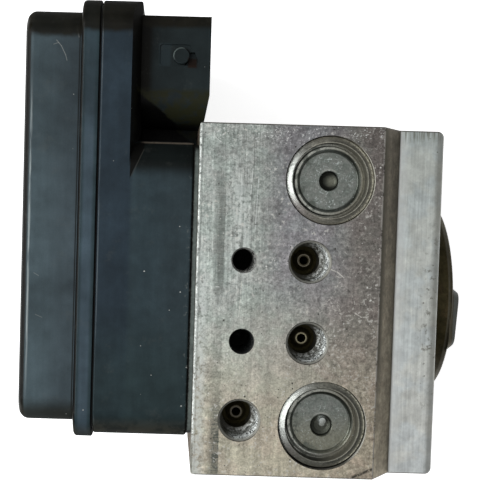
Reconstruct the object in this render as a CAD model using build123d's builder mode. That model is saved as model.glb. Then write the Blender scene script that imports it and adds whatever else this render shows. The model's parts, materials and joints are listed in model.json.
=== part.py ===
from build123d import *
import os

# Brake pressure modulator: an aluminium valve block with brake-line ports on its
# upper face, a black plastic control unit on its -X side and a sunk pump motor in
# its +X side.  Millimetres, +Z up out of the port face, back face on Z = 0.
#
# u is the distance from the block's left (-X) face, v from its lower (-Y) end.

os.makedirs("parts", exist_ok=True)

# ------------------------------------------------------------------ driving sizes
BLOCK_W = 70.7            # u extent of the block
BLOCK_L = 100.0           # v extent
BLOCK_H = 90.0            # back face to port face
FACE_W = 52.0             # u width of the raised port face
LEDGE_U = 58.1            # foot of the sloped riser
LEDGE_DROP = 7.8          # port face to ledge
LEDGE_Z = BLOCK_H - LEDGE_DROP

PORTS = [(32.0, 61.5), (32.0, 38.5), (13.4, 16.0)]
PORT_MOUTH_R = 6.15       # countersink of the M12 x 1 port
PORT_R = 5.46             # M12 x 1 minor radius
PORT_DEPTH = 9.6          # threaded depth
SEAT_R = 4.25             # pocket of the flare seat
SEAT_FLOOR = 16.6         # depth of the pocket floor
SEAT_TIP = 12.2           # depth of the seat's tip
MOUNT_HOLES = [(13.4, 61.5), (13.4, 38.5)]
MOUNT_R = 3.4             # M8 tapping size
MOUNT_DEPTH = 17.0
PASSAGE_R = 1.5

ACC_CENTRES = [(37.0, 84.6), (37.0, 15.0)]
ACC_RING_R = 12.65        # counterbore of the cap's retaining ring
ACC_RING_DEPTH = 5.6
ACC_BORE_R = 9.5
ACC_BORE_DEPTH = 28.0
ACC_TRAVEL = 5.0

PUMP_U = 38.0             # pump elements and eccentric, from the left face
AXIS_V = 50.0             # motor axis
AXIS_Z = 43.5
PLUG_R = 9.0
SLEEVE_R = 7.0
PISTON_R = 3.25
ECC_OFFSET = 1.0
RING_R = 8.0              # running ring on the eccentric
CHAMBER_R = 12.5          # eccentric chamber
PISTON_GAP = 0.3          # piston end to the ring's swept circle

CAVITY_R = 31.2           # recess for the motor
CAVITY_U = 51.5
CAN_R = 31.0
CAN_END = 77.9            # outer face of the motor can
BOSS_END = 80.2           # pressed boss on the can

VALVE_V = [22.0, 42.0, 62.0, 82.0]
INLET_Z = 62.0
OUTLET_Z = 25.0
VALVE_STROKE = 0.3

ECU_LEFT = -50.7
COVER_STEP = -34.5        # cover body to cover flange
SEAM_L = -29.1            # cover flange face
SEAM_R = -28.65           # housing flange face
FLANGE_R = -17.4          # right face of the housing flange at its root
ECU_RIGHT = -1.4
RIM_V0 = 7.7              # lower end of the cover flange
ECU_V0, ECU_V1 = 8.8, 135.6
ECU_Z0, ECU_Z1 = 2.0, 86.0
COVER_V0, COVER_V1 = 12.4, 132.0
COVER_Z0, COVER_Z1 = 3.0, 85.0
BOX_V0, BOX_V1 = 8.8, 95.2
SOCKET_V0, SOCKET_V1 = 101.0, 131.8
SOCKET_Z0, SOCKET_Z1 = 14.0, 78.5
SOCKET_END = 2.7
WALL = 2.4
SCREW_SPOTS = [(29.5, 79.0), (74.5, 79.0), (16.5, 9.8), (87.5, 9.8)]

X_SHIFT = -(ECU_LEFT + BOSS_END) / 2.0
Y_SHIFT = -(0.0 + ECU_V1) / 2.0


def px(u):
    return u + X_SHIFT


def py(v):
    return v + Y_SHIFT


# ------------------------------------------------------------------ sketch planes
def plane_x(u):
    """Plane square to X at u: local x is +Y, local y is +Z, normal +X."""
    return Plane(origin=(px(u), 0, 0), x_dir=(0, 1, 0), z_dir=(1, 0, 0))


def plane_y(v):
    """Plane square to Y at v: local x is +Z, local y is +X, normal +Y."""
    return Plane(origin=(0, py(v), 0), x_dir=(0, 0, 1), z_dir=(0, 1, 0))


def axis_x(v, z):
    return Axis((0, py(v), z), (1, 0, 0))


def axis_y(u, z):
    return Axis((px(u), 0, z), (0, 1, 0))


def axis_z(u, v):
    return Axis((px(u), py(v), 0), (0, 0, 1))


def turned(plane, points):
    """Half section of a turned piece: closed polygon on a plane through its axis."""
    with BuildSketch(plane) as section:
        with BuildLine():
            Polyline(*points, close=True)
        make_face()
    return section.sketch


def turned_x(v, z, points):
    """points are (u, radius) about the line through (v, z) along X."""
    plane = Plane(origin=(0, py(v), z), x_dir=(1, 0, 0), z_dir=(0, -1, 0))
    return turned(plane, [(px(a), r) for a, r in points])


def turned_y(u, z, points):
    """points are (v, radius) about the line through (u, z) along Y."""
    plane = Plane(origin=(px(u), 0, z), x_dir=(0, 1, 0), z_dir=(1, 0, 0))
    return turned(plane, [(py(a), r) for a, r in points])


def turned_z(u, v, points):
    """points are (radius, z) about the line through (u, v) along Z."""
    plane = Plane(origin=(px(u), py(v), 0), x_dir=(1, 0, 0), z_dir=(0, -1, 0))
    return turned(plane, points)


def tube_x(v, z, u0, u1, r_in, r_out):
    return turned_x(v, z, [(u0, r_in), (u1, r_in), (u1, r_out), (u0, r_out)])


def bar_x(v, z, u0, u1, r):
    return turned_x(v, z, [(u0, 0), (u1, 0), (u1, r), (u0, r)])


def rounded(plane, v0, v1, z0, z1, radius):
    """Rounded rectangle on a plane square to X."""
    with BuildSketch(plane) as s:
        with Locations((py((v0 + v1) / 2), (z0 + z1) / 2)):
            RectangleRounded(v1 - v0, z1 - z0, radius)
    return s.sketch


# =================================================================== valve block
with BuildPart() as valve_block:
    # constant section, square to Y: local (z, x)
    with BuildSketch(plane_y(0.0)) as section:
        with BuildLine():
            Polyline(
                (0.0, px(0.0)),
                (BLOCK_H, px(0.0)),
                (BLOCK_H, px(FACE_W)),
                (LEDGE_Z, px(LEDGE_U)),
                (LEDGE_Z, px(BLOCK_W)),
                (0.0, px(BLOCK_W)),
                close=True,
            )
        make_face()
        corners = section.vertices()

        def corner(z, u):
            return corners.sort_by_distance((z, px(u), 0))[0]

        chamfer(corner(BLOCK_H, 0.0), length=0.9)
        fillet(corner(BLOCK_H, FACE_W), radius=0.6)
        fillet(corner(LEDGE_Z, LEDGE_U), radius=1.3)
        fillet(corner(LEDGE_Z, BLOCK_W), radius=2.2)
        chamfer([corner(0.0, 0.0), corner(0.0, BLOCK_W)], length=0.8)
    extrude(amount=BLOCK_L)
    # broken upright corners at the motor side
    upright = (
        valve_block.edges()
        .filter_by(Axis.Z)
        .filter_by_position(Axis.X, px(BLOCK_W) - 0.1, px(BLOCK_W) + 0.1)
    )
    fillet(upright, radius=1.8)
    # end faces: narrow edge break
    ends = valve_block.faces().filter_by(Axis.Y)
    chamfer(ends.edges(), length=0.35)

    # brake-line ports: countersink, thread bore, seat pocket and drilling
    for u, v in PORTS:
        low = 60.5 if u > 20 else 62.0
        revolve(
            turned_z(
                u,
                v,
                [
                    (0, BLOCK_H + 1),
                    (PORT_MOUTH_R + 1, BLOCK_H + 1),
                    (PORT_MOUTH_R, BLOCK_H),
                    (PORT_R, BLOCK_H - 0.9),
                    (PORT_R, BLOCK_H - PORT_DEPTH),
                    (SEAT_R, BLOCK_H - PORT_DEPTH - 0.5),
                    (SEAT_R, BLOCK_H - SEAT_FLOOR),
                    (PASSAGE_R, BLOCK_H - SEAT_FLOOR),
                    (PASSAGE_R, low),
                    (0, low - 0.8),
                ],
            ),
            axis=axis_z(u, v),
            mode=Mode.SUBTRACT,
        )
    # two tapped holes for the bracket
    for u, v in MOUNT_HOLES:
        revolve(
            turned_z(
                u,
                v,
                [
                    (0, BLOCK_H + 1),
                    (MOUNT_R + 0.25, BLOCK_H + 1),
                    (MOUNT_R + 0.25, BLOCK_H),
                    (MOUNT_R, BLOCK_H - 0.35),
                    (MOUNT_R, BLOCK_H - MOUNT_DEPTH),
                    (0, BLOCK_H - MOUNT_DEPTH - 1.9),
                ],
            ),
            axis=axis_z(u, v),
            mode=Mode.SUBTRACT,
        )
    # accumulator bores, each with a drilling on to the pump bore under it
    for u, v in ACC_CENTRES:
        revolve(
            turned_z(
                u,
                v,
                [
                    (0, BLOCK_H + 1),
                    (ACC_RING_R, BLOCK_H + 1),
                    (ACC_RING_R, BLOCK_H - ACC_RING_DEPTH),
                    (ACC_BORE_R, BLOCK_H - ACC_RING_DEPTH),
                    (ACC_BORE_R, BLOCK_H - ACC_BORE_DEPTH),
                    (PASSAGE_R, BLOCK_H - ACC_BORE_DEPTH),
                    (PASSAGE_R, 48.0),
                    (0, 48.0),
                ],
            ),
            axis=axis_z(u, v),
            mode=Mode.SUBTRACT,
        )
    # pump bores from both ends to the eccentric chamber
    for end, inward in ((0.0, 1.0), (BLOCK_L, -1.0)):
        revolve(
            turned_y(
                PUMP_U,
                AXIS_Z,
                [
                    (end - inward, 0),
                    (end - inward, PLUG_R),
                    (end + inward * 11.0, PLUG_R),
                    (end + inward * 11.0, SLEEVE_R),
                    (end + inward * 36.0, SLEEVE_R),
                    (end + inward * 36.0, 4.5),
                    (AXIS_V, 4.5),
                    (AXIS_V, 0),
                ],
            ),
            axis=axis_y(PUMP_U, AXIS_Z),
            mode=Mode.SUBTRACT,
        )
    # eccentric chamber, pilot bearing seat and motor recess on one axis
    revolve(
        turned_x(
            AXIS_V,
            AXIS_Z,
            [
                (24.0, 0),
                (24.0, 5.5),
                (30.5, 5.5),
                (30.5, CHAMBER_R),
                (CAVITY_U, CHAMBER_R),
                (CAVITY_U, CAVITY_R),
                (BLOCK_W - 0.6, CAVITY_R),
                (BLOCK_W, CAVITY_R + 0.6),
                (BLOCK_W + 1, CAVITY_R + 0.6),
                (BLOCK_W + 1, 0),
            ],
        ),
        axis=axis_x(AXIS_V, AXIS_Z),
        mode=Mode.SUBTRACT,
    )
    # valve bores: caulking counterbore, body bore, drilling beyond
    for z, reach in ((INLET_Z, 33.5), (OUTLET_Z, 28.0)):
        for v in VALVE_V:
            inner = reach if v in (42.0, 62.0) or z == OUTLET_Z else 24.0
            revolve(
                turned_x(
                    v,
                    z,
                    [
                        (-1.0, 0),
                        (-1.0, 6.6),
                        (2.6, 6.6),
                        (2.6, 5.5),
                        (20.5, 5.5),
                        (22.5, PASSAGE_R),
                        (inner, PASSAGE_R),
                        (inner, 0),
                    ],
                ),
                axis=axis_x(v, z),
                mode=Mode.SUBTRACT,
            )
    # cross drillings from the ends, closed by pressed balls
    for z in (INLET_Z, OUTLET_Z):
        for end, inward in ((0.0, 1.0), (BLOCK_L, -1.0)):
            revolve(
                turned_y(
                    12.0,
                    z,
                    [
                        (end - inward, 0),
                        (end - inward, 2.1),
                        (end + inward * 5.0, 2.1),
                        (end + inward * 5.6, PASSAGE_R),
                        (end + inward * 40.0, PASSAGE_R),
                        (end + inward * 40.0, 0),
                    ],
                ),
                axis=axis_y(12.0, z),
                mode=Mode.SUBTRACT,
            )
    # drillings from the back up to the pump bores, closed by pressed balls
    for v in (22.0, 82.0):
        revolve(
            turned_z(
                27.0,
                v,
                [(0, -1), (2.1, -1), (2.1, 5.0), (PASSAGE_R, 5.6), (PASSAGE_R, 26.5), (0, 26.5)],
            ),
            axis=axis_z(27.0, v),
            mode=Mode.SUBTRACT,
        )
    # bore for the motor lead
    revolve(
        bar_x(52.0, OUTLET_Z, -1.0, CAVITY_U + 1.0, 2.2),
        axis=axis_x(52.0, OUTLET_Z),
        mode=Mode.SUBTRACT,
    )
    # tapped holes for the control unit's screws
    for v, z in SCREW_SPOTS:
        revolve(bar_x(v, z, -1.0, 8.5, 2.05), axis=axis_x(v, z), mode=Mode.SUBTRACT)
    # tapped holes for the motor's through screws
    for dv in (-24.5, 24.5):
        revolve(
            bar_x(AXIS_V + dv, AXIS_Z, 45.9, CAVITY_U + 1.0, 2.05),
            axis=axis_x(AXIS_V + dv, AXIS_Z),
            mode=Mode.SUBTRACT,
        )
valve_block.part.label = "valve_block"
export_step(valve_block.part, "parts/valve_block.step")

# flare seats, pressed to the bottom of each port
with BuildPart() as flare_seats:
    for u, v in PORTS:
        revolve(
            turned_z(
                u,
                v,
                [
                    (1.3, BLOCK_H - SEAT_FLOOR),
                    (SEAT_R - 0.02, BLOCK_H - SEAT_FLOOR),
                    (SEAT_R - 0.02, BLOCK_H - 15.0),
                    (3.05, BLOCK_H - 14.7),
                    (3.05, BLOCK_H - 13.9),
                    (1.85, BLOCK_H - SEAT_TIP),
                    (1.3, BLOCK_H - SEAT_TIP),
                ],
            ),
            axis=axis_z(u, v),
        )
flare_seats.part.label = "flare_seats"
export_step(flare_seats.part, "parts/flare_seats.step")

# ============================================================== accumulators
ACC_NAMES = ["upper", "lower"]
CAP_TOP = BLOCK_H - 3.0
CAP_FLOOR = CAP_TOP - 0.95
# (u, v) of rim, of recess and of dimple, rim radius, dimple radius
CAP_SHAPES = {
    "upper": ((37.0, 84.6), (37.0, 84.6), (37.2, 84.65), 9.9, 2.7),
    "lower": ((37.0, 15.6), (37.15, 15.3), (37.4, 14.4), 9.8, 3.05),
}
for (u, v), name in zip(ACC_CENTRES, ACC_NAMES):
    rim_at, recess_at, dimple_at, rim_r, dimple_r = CAP_SHAPES[name]
    with BuildPart() as accumulator_cap:
        # flange, held down by the retaining ring
        revolve(
            turned_z(
                u,
                v,
                [
                    (0, BLOCK_H - ACC_RING_DEPTH),
                    (12.4, BLOCK_H - ACC_RING_DEPTH),
                    (12.4, BLOCK_H - 4.0),
                    (0, BLOCK_H - 4.0),
                ],
            ),
            axis=axis_z(u, v),
        )
        revolve(
            turned_z(
                *rim_at,
                [
                    (0, BLOCK_H - 4.2),
                    (rim_r, BLOCK_H - 4.2),
                    (rim_r, CAP_TOP - 0.3),
                    (rim_r - 0.1, CAP_TOP - 0.08),
                    (rim_r - 0.3, CAP_TOP),
                    (0, CAP_TOP),
                ],
            ),
            axis=axis_z(*rim_at),
        )
        revolve(
            turned_z(
                *recess_at,
                [
                    (0, CAP_TOP + 1.0),
                    (9.05, CAP_TOP + 1.0),
                    (9.05, CAP_TOP),
                    (8.8, CAP_TOP - 0.2),
                    (8.45, CAP_TOP - 0.75),
                    (8.2, CAP_FLOOR),
                    (4.2, CAP_FLOOR + 0.08),
                    (0, CAP_FLOOR + 0.08),
                ],
            ),
            axis=axis_z(*recess_at),
            mode=Mode.SUBTRACT,
        )
        revolve(
            turned_z(
                *dimple_at,
                [
                    (0, CAP_FLOOR + 0.5),
                    (dimple_r + 0.35, CAP_FLOOR + 0.5),
                    (dimple_r + 0.2, CAP_FLOOR),
                    (dimple_r, CAP_FLOOR - 0.2),
                    (dimple_r * 0.9, CAP_FLOOR - 1.0),
                    (dimple_r * 0.6, CAP_FLOOR - 1.3),
                    (0, CAP_FLOOR - 1.4),
                ],
            ),
            axis=axis_z(*dimple_at),
            mode=Mode.SUBTRACT,
        )
        if name == "lower":
            # pip left standing in the dimple
            for (pu, pv), pr, rise in (((37.7, 15.7), 1.3, 1.75), ((37.6, 14.7), 1.0, 1.2)):
                with BuildSketch(Plane.XY.offset(CAP_FLOOR - 1.5)):
                    with Locations((px(pu), py(pv))):
                        Circle(pr)
                extrude(amount=rise, taper=12)
    accumulator_cap.part.label = name + "_accumulator_cap"
    export_step(accumulator_cap.part, "parts/" + name + "_accumulator_cap.step")

    # piston: a cup, open upwards, with one seal groove; rests at the bore's floor
    foot = BLOCK_H - ACC_BORE_DEPTH + 0.4
    with BuildPart() as accumulator_piston:
        revolve(
            turned_z(
                u,
                v,
                [
                    (0, foot),
                    (8.6, foot),
                    (ACC_BORE_R - 0.05, foot + 0.8),
                    (ACC_BORE_R - 0.05, foot + 2.6),
                    (7.7, foot + 2.6),
                    (7.7, foot + 4.8),
                    (ACC_BORE_R - 0.05, foot + 4.8),
                    (ACC_BORE_R - 0.05, foot + 10.4),
                    (7.2, foot + 10.4),
                    (7.2, foot + 5.6),
                    (6.6, foot + 3.0),
                    (0, foot + 3.0),
                ],
            ),
            axis=axis_z(u, v),
        )
    accumulator_piston.part.label = name + "_accumulator_piston"
    export_step(accumulator_piston.part, "parts/" + name + "_accumulator_piston.step")

    with BuildPart() as accumulator_seal:
        with BuildSketch(Plane(origin=(px(u), py(v), 0), x_dir=(1, 0, 0), z_dir=(0, -1, 0))):
            with Locations((8.58, foot + 3.7)):
                Circle(0.86)
        revolve(axis=axis_z(u, v))
    accumulator_seal.part.label = name + "_accumulator_seal"
    export_step(accumulator_seal.part, "parts/" + name + "_accumulator_seal.step")

    # compression spring from the cup's floor to the underside of the cap
    spring_lo = foot + 3.0 + 0.75
    spring_hi = BLOCK_H - ACC_RING_DEPTH - 0.75
    with BuildPart() as accumulator_spring:
        with BuildLine():
            coil = Helix(
                pitch=(spring_hi - spring_lo) / 5.0,
                height=spring_hi - spring_lo,
                radius=5.4,
                center=(px(u), py(v), spring_lo),
            )
        with BuildSketch(Plane(origin=coil @ 0, z_dir=coil % 0)):
            Circle(0.7)
        sweep(path=coil, is_frenet=True)
    accumulator_spring.part.label = name + "_accumulator_spring"
    export_step(accumulator_spring.part, "parts/" + name + "_accumulator_spring.step")

# retaining rings around the caps, their upper face falling outwards
RING_SHAPES = [((37.0, 84.6), 10.5, 12.45), ((37.0, 15.25), 10.3, 12.3)]
with BuildPart() as cap_retaining_rings:
    for (u, v), r_in, r_out in RING_SHAPES:
        revolve(
            turned_z(
                u,
                v,
                [
                    (r_in, BLOCK_H - 3.95),
                    (r_out, BLOCK_H - 3.95),
                    (r_out, BLOCK_H - 1.15),
                    (r_out - 0.12, BLOCK_H - 0.95),
                    (r_in + 0.35, BLOCK_H - 0.3),
                    (r_in + 0.15, BLOCK_H - 0.32),
                    (r_in, BLOCK_H - 0.6),
                ],
            ),
            axis=axis_z(u, v),
        )
cap_retaining_rings.part.label = "cap_retaining_rings"
export_step(cap_retaining_rings.part, "parts/cap_retaining_rings.step")

# ============================================================== pump elements
PUMP_SIDES = [("upper", 1.0), ("lower", -1.0)]
PISTON_FOOT = ECC_OFFSET + RING_R + PISTON_GAP


def out_v(side, distance):
    """v at a distance out from the motor axis, towards one end."""
    return AXIS_V + side * distance


with BuildPart() as pump_plugs:
    for name, side in PUMP_SIDES:
        revolve(
            turned_y(
                PUMP_U,
                AXIS_Z,
                [
                    (out_v(side, 38.6), 0),
                    (out_v(side, 38.6), 5.6),
                    (out_v(side, 40.2), 5.6),
                    (out_v(side, 40.2), PLUG_R - 0.04),
                    (out_v(side, 48.6), PLUG_R - 0.04),
                    (out_v(side, 49.4), PLUG_R - 0.7),
                    (out_v(side, 49.4), 0),
                ],
            ),
            axis=axis_y(PUMP_U, AXIS_Z),
        )
        # hexagon socket in the outer face
        hex_plane = Plane(
            origin=(px(PUMP_U), py(out_v(side, 49.6)), AXIS_Z),
            x_dir=(0, 0, 1),
            z_dir=(0, -side, 0),
        )
        with BuildSketch(hex_plane) as hexagon:
            RegularPolygon(radius=4.0, side_count=6, major_radius=False)
        extrude(amount=4.6, mode=Mode.SUBTRACT)
pump_plugs.part.label = "pump_plugs"
export_step(pump_plugs.part, "parts/pump_plugs.step")

with BuildPart() as pump_plug_seals:
    for name, side in PUMP_SIDES:
        with BuildSketch(Plane(origin=(px(PUMP_U), 0, AXIS_Z), x_dir=(0, 1, 0), z_dir=(1, 0, 0))):
            with Locations((py(out_v(side, 39.62)), 6.3)):
                Circle(0.55)
        revolve(axis=axis_y(PUMP_U, AXIS_Z))
pump_plug_seals.part.label = "pump_plug_seals"
export_step(pump_plug_seals.part, "parts/pump_plug_seals.step")

with BuildPart() as pump_sleeves:
    for name, side in PUMP_SIDES:
        revolve(
            turned_y(
                PUMP_U,
                AXIS_Z,
                [
                    (out_v(side, 14.1), PISTON_R + 0.03),
                    (out_v(side, 25.0), PISTON_R + 0.03),
                    (out_v(side, 25.0), 4.4),
                    (out_v(side, 38.5), 4.4),
                    (out_v(side, 38.5), SLEEVE_R - 0.02),
                    (out_v(side, 14.1), SLEEVE_R - 0.02),
                ],
            ),
            axis=axis_y(PUMP_U, AXIS_Z),
        )
pump_sleeves.part.label = "pump_sleeves"
export_step(pump_sleeves.part, "parts/pump_sleeves.step")

for name, side in PUMP_SIDES:
    with BuildPart() as pump_piston:
        revolve(
            turned_y(
                PUMP_U,
                AXIS_Z,
                [
                    (out_v(side, PISTON_FOOT), 0),
                    (out_v(side, PISTON_FOOT), PISTON_R - 0.5),
                    (out_v(side, PISTON_FOOT + 0.5), PISTON_R),
                    (out_v(side, 26.5), PISTON_R),
                    (out_v(side, 26.5), 4.2),
                    (out_v(side, 27.7), 4.2),
                    (out_v(side, 27.7), 1.7),
                    (out_v(side, 29.5), 1.5),
                    (out_v(side, 29.5), 0),
                ],
            ),
            axis=axis_y(PUMP_U, AXIS_Z),
        )
    pump_piston.part.label = name + "_pump_piston"
    export_step(pump_piston.part, "parts/" + name + "_pump_piston.step")

    spring_in, spring_out = 27.7 + 0.5, 38.6 - 0.5
    with BuildPart() as pump_spring:
        with BuildLine():
            start_v = out_v(side, spring_in) if side > 0 else out_v(side, spring_out)
            coil = Helix(
                pitch=(spring_out - spring_in) / 5.0,
                height=spring_out - spring_in,
                radius=3.0,
                center=(px(PUMP_U), py(start_v), AXIS_Z),
                direction=(0, 1, 0),
            )
        with BuildSketch(Plane(origin=coil @ 0, z_dir=coil % 0)):
            Circle(0.45)
        sweep(path=coil, is_frenet=True)
    pump_spring.part.label = name + "_pump_spring"
    export_step(pump_spring.part, "parts/" + name + "_pump_spring.step")

# balls pressed into the cross drillings
with BuildPart() as passage_balls:
    spots = [(12.0, v, z) for z in (INLET_Z, OUTLET_Z) for v in (2.5, BLOCK_L - 2.5)]
    spots += [(27.0, 22.0, 2.5), (27.0, 82.0, 2.5)]
    with Locations(*[(px(u), py(v), z) for u, v, z in spots]):
        Sphere(2.08)
passage_balls.part.label = "passage_balls"
export_step(passage_balls.part, "parts/passage_balls.step")

# ============================================================== solenoid valves


def cartridge_section(v, z):
    return turned_x(
        v,
        z,
        [
            (-16.9, 0),
            (-16.9, 2.2),
            (-16.0, 3.1),
            (-0.2, 3.1),
            (-0.2, 6.5),
            (2.5, 6.5),
            (2.5, 5.46),
            (19.5, 5.46),
            (20.3, 4.6),
            (20.3, 1.0),
            (-2.0, 1.0),
            (-2.0, 2.56),
            (-16.0, 2.56),
            (-16.0, 0),
        ],
    )


with BuildPart() as inlet_valve_bodies:
    for v in VALVE_V:
        revolve(cartridge_section(v, INLET_Z), axis=axis_x(v, INLET_Z))
inlet_valve_bodies.part.label = "inlet_valve_bodies"
export_step(inlet_valve_bodies.part, "parts/inlet_valve_bodies.step")

with BuildPart() as outlet_valve_bodies:
    for v in VALVE_V:
        revolve(cartridge_section(v, OUTLET_Z), axis=axis_x(v, OUTLET_Z))
outlet_valve_bodies.part.label = "outlet_valve_bodies"
export_step(outlet_valve_bodies.part, "parts/outlet_valve_bodies.step")

for kind, z, left in (("inlet", INLET_Z, -15.9), ("outlet", OUTLET_Z, -15.5)):
    for number, v in enumerate(VALVE_V, start=1):
        with BuildPart() as valve_armature:
            revolve(
                turned_x(
                    v,
                    z,
                    [
                        (left, 0),
                        (left, 2.2),
                        (left + 0.3, 2.5),
                        (-4.3, 2.5),
                        (-4.0, 2.2),
                        (-4.0, 0.75),
                        (17.0, 0.75),
                        (17.8, 0.4),
                        (17.8, 0),
                    ],
                ),
                axis=axis_x(v, z),
            )
        label = kind + "_valve_armature_" + str(number)
        valve_armature.part.label = label
        export_step(valve_armature.part, "parts/" + label + ".step")

COIL_SPOTS = [(v, z) for z in (INLET_Z, OUTLET_Z) for v in VALVE_V]

with BuildPart() as coil_yokes:
    for v, z in COIL_SPOTS:
        revolve(
            turned_x(
                v,
                z,
                [
                    (-17.6, 7.6),
                    (-17.6, 8.6),
                    (-3.0, 8.6),
                    (-3.0, 3.35),
                    (-4.2, 3.35),
                    (-4.2, 7.6),
                ],
            ),
            axis=axis_x(v, z),
        )
coil_yokes.part.label = "coil_yokes"
export_step(coil_yokes.part, "parts/coil_yokes.step")

with BuildPart() as coil_bobbins:
    for v, z in COIL_SPOTS:
        revolve(
            turned_x(
                v,
                z,
                [
                    (-17.6, 3.3),
                    (-17.6, 7.5),
                    (-16.8, 7.5),
                    (-16.8, 3.9),
                    (-5.0, 3.9),
                    (-5.0, 7.5),
                    (-4.3, 7.5),
                    (-4.3, 3.3),
                ],
            ),
            axis=axis_x(v, z),
        )
coil_bobbins.part.label = "coil_bobbins"
export_step(coil_bobbins.part, "parts/coil_bobbins.step")

with BuildPart() as coil_windings:
    for v, z in COIL_SPOTS:
        revolve(tube_x(v, z, -16.75, -5.05, 3.95, 7.3), axis=axis_x(v, z))
coil_windings.part.label = "coil_windings"
export_step(coil_windings.part, "parts/coil_windings.step")

# ============================================================== motor
with BuildPart() as motor_can:
    # deep-drawn can, open towards the block, with a bearing dome on the axis
    revolve(
        turned_x(
            AXIS_V,
            AXIS_Z,
            [
                (52.4, 29.0),
                (52.4, CAN_R),
                (CAN_END - 1.4, CAN_R),
                (CAN_END - 0.9, CAN_R - 0.1),
                (CAN_END - 0.4, CAN_R - 0.4),
                (CAN_END - 0.1, CAN_R - 0.85),
                (CAN_END, CAN_R - 1.35),
                (CAN_END, 8.4),
                (CAN_END + 1.5, 7.6),
                (CAN_END + 1.5, 0),
                (CAN_END - 0.2, 0),
                (CAN_END - 0.2, 5.52),
                (CAN_END - 4.6, 5.52),
                (CAN_END - 4.6, 7.4),
                (CAN_END - 2.0, 7.4),
                (CAN_END - 2.0, 27.4),
                (CAN_END - 3.6, 29.0),
            ],
        ),
        axis=axis_x(AXIS_V, AXIS_Z),
    )
    # pressed boss near the upper rim
    with BuildSketch(plane_x(CAN_END - 1.0)) as boss:
        with Locations((py(45.1), AXIS_Z + 24.4)):
            RectangleRounded(20.6, 12.4, 4.6)
    extrude(amount=BOSS_END - CAN_END + 1.0, taper=38)
    # the boss falls away towards its lower end
    with BuildSketch(Plane.XY.offset(AXIS_Z + 15.0)):
        with BuildLine():
            Polyline(
                (px(BOSS_END + 0.05), py(50.4)),
                (px(BOSS_END + 1.0), py(50.4)),
                (px(BOSS_END + 1.0), py(33.0)),
                (px(BOSS_END - 1.45), py(33.0)),
                close=True,
            )
        make_face()
    extrude(amount=20.0, mode=Mode.SUBTRACT)
    # clearance for the through screws
    for dv in (-24.5, 24.5):
        revolve(
            bar_x(AXIS_V + dv, AXIS_Z, CAN_END - 4.0, CAN_END + 2.0, 2.2),
            axis=axis_x(AXIS_V + dv, AXIS_Z),
            mode=Mode.SUBTRACT,
        )
motor_can.part.label = "motor_can"
export_step(motor_can.part, "parts/motor_can.step")

with BuildPart() as motor_screws:
    for dv in (-24.5, 24.5):
        v = AXIS_V + dv
        revolve(
            turned_x(
                v,
                AXIS_Z,
                [
                    (46.2, 0),
                    (46.2, 1.6),
                    (46.7, 2.0),
                    (CAN_END, 2.0),
                    (CAN_END, 3.6),
                    (CAN_END + 1.2, 3.6),
                    (CAN_END + 1.95, 2.8),
                    (CAN_END + 1.95, 0),
                ],
            ),
            axis=axis_x(v, AXIS_Z),
        )
        with BuildSketch(
            Plane(origin=(px(CAN_END + 2.5), py(v), AXIS_Z), x_dir=(0, 1, 0), z_dir=(-1, 0, 0))
        ):
            RegularPolygon(radius=1.7, side_count=6)
        extrude(amount=2.0, mode=Mode.SUBTRACT)
motor_screws.part.label = "motor_screws"
export_step(motor_screws.part, "parts/motor_screws.step")

with BuildPart() as motor_gasket:
    with BuildSketch(plane_x(CAVITY_U)):
        with Locations((py(AXIS_V), AXIS_Z)):
            Circle(30.4)
            Circle(CHAMBER_R + 0.3, mode=Mode.SUBTRACT)
        with Locations((py(AXIS_V - 24.5), AXIS_Z), (py(AXIS_V + 24.5), AXIS_Z)):
            Circle(2.3, mode=Mode.SUBTRACT)
        with Locations((py(52.0), OUTLET_Z)):
            Circle(2.3, mode=Mode.SUBTRACT)
    extrude(amount=0.8)
motor_gasket.part.label = "motor_gasket"
export_step(motor_gasket.part, "parts/motor_gasket.step")

with BuildPart() as motor_end_shield:
    revolve(
        turned_x(
            AXIS_V,
            AXIS_Z,
            [
                (46.4, 5.54),
                (46.4, CHAMBER_R - 0.03),
                (52.35, CHAMBER_R - 0.03),
                (52.35, 28.9),
                (54.0, 28.9),
                (54.0, 5.54),
            ],
        ),
        axis=axis_x(AXIS_V, AXIS_Z),
    )
    for v, z, r in (
        (AXIS_V - 24.5, AXIS_Z, 2.3),
        (AXIS_V + 24.5, AXIS_Z, 2.3),
        (52.0, OUTLET_Z, 2.3),
    ):
        revolve(bar_x(v, z, 51.0, 55.0, r), axis=axis_x(v, z), mode=Mode.SUBTRACT)
motor_end_shield.part.label = "motor_end_shield"
export_step(motor_end_shield.part, "parts/motor_end_shield.step")

with BuildPart() as brush_plate:
    # moulded ring carrying the two brush boxes
    revolve(tube_x(AXIS_V, AXIS_Z, 54.05, 55.6, 10.5, 27.5), axis=axis_x(AXIS_V, AXIS_Z))
    with BuildSketch(plane_x(55.5)):
        with Locations((py(AXIS_V + 16.2), AXIS_Z), (py(AXIS_V - 16.2), AXIS_Z)):
            Rectangle(10.4, 7.4)
    extrude(amount=5.9)
    with BuildSketch(plane_x(56.0)):
        with Locations((py(AXIS_V + 16.2), AXIS_Z), (py(AXIS_V - 16.2), AXIS_Z)):
            Rectangle(12.0, 5.2)
    extrude(amount=4.6, mode=Mode.SUBTRACT)
    for v, z, r in (
        (AXIS_V - 24.5, AXIS_Z, 2.3),
        (AXIS_V + 24.5, AXIS_Z, 2.3),
        (52.0, OUTLET_Z, 2.3),
    ):
        revolve(bar_x(v, z, 53.0, 57.0, r), axis=axis_x(v, z), mode=Mode.SUBTRACT)
brush_plate.part.label = "brush_plate"
export_step(brush_plate.part, "parts/brush_plate.step")

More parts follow.
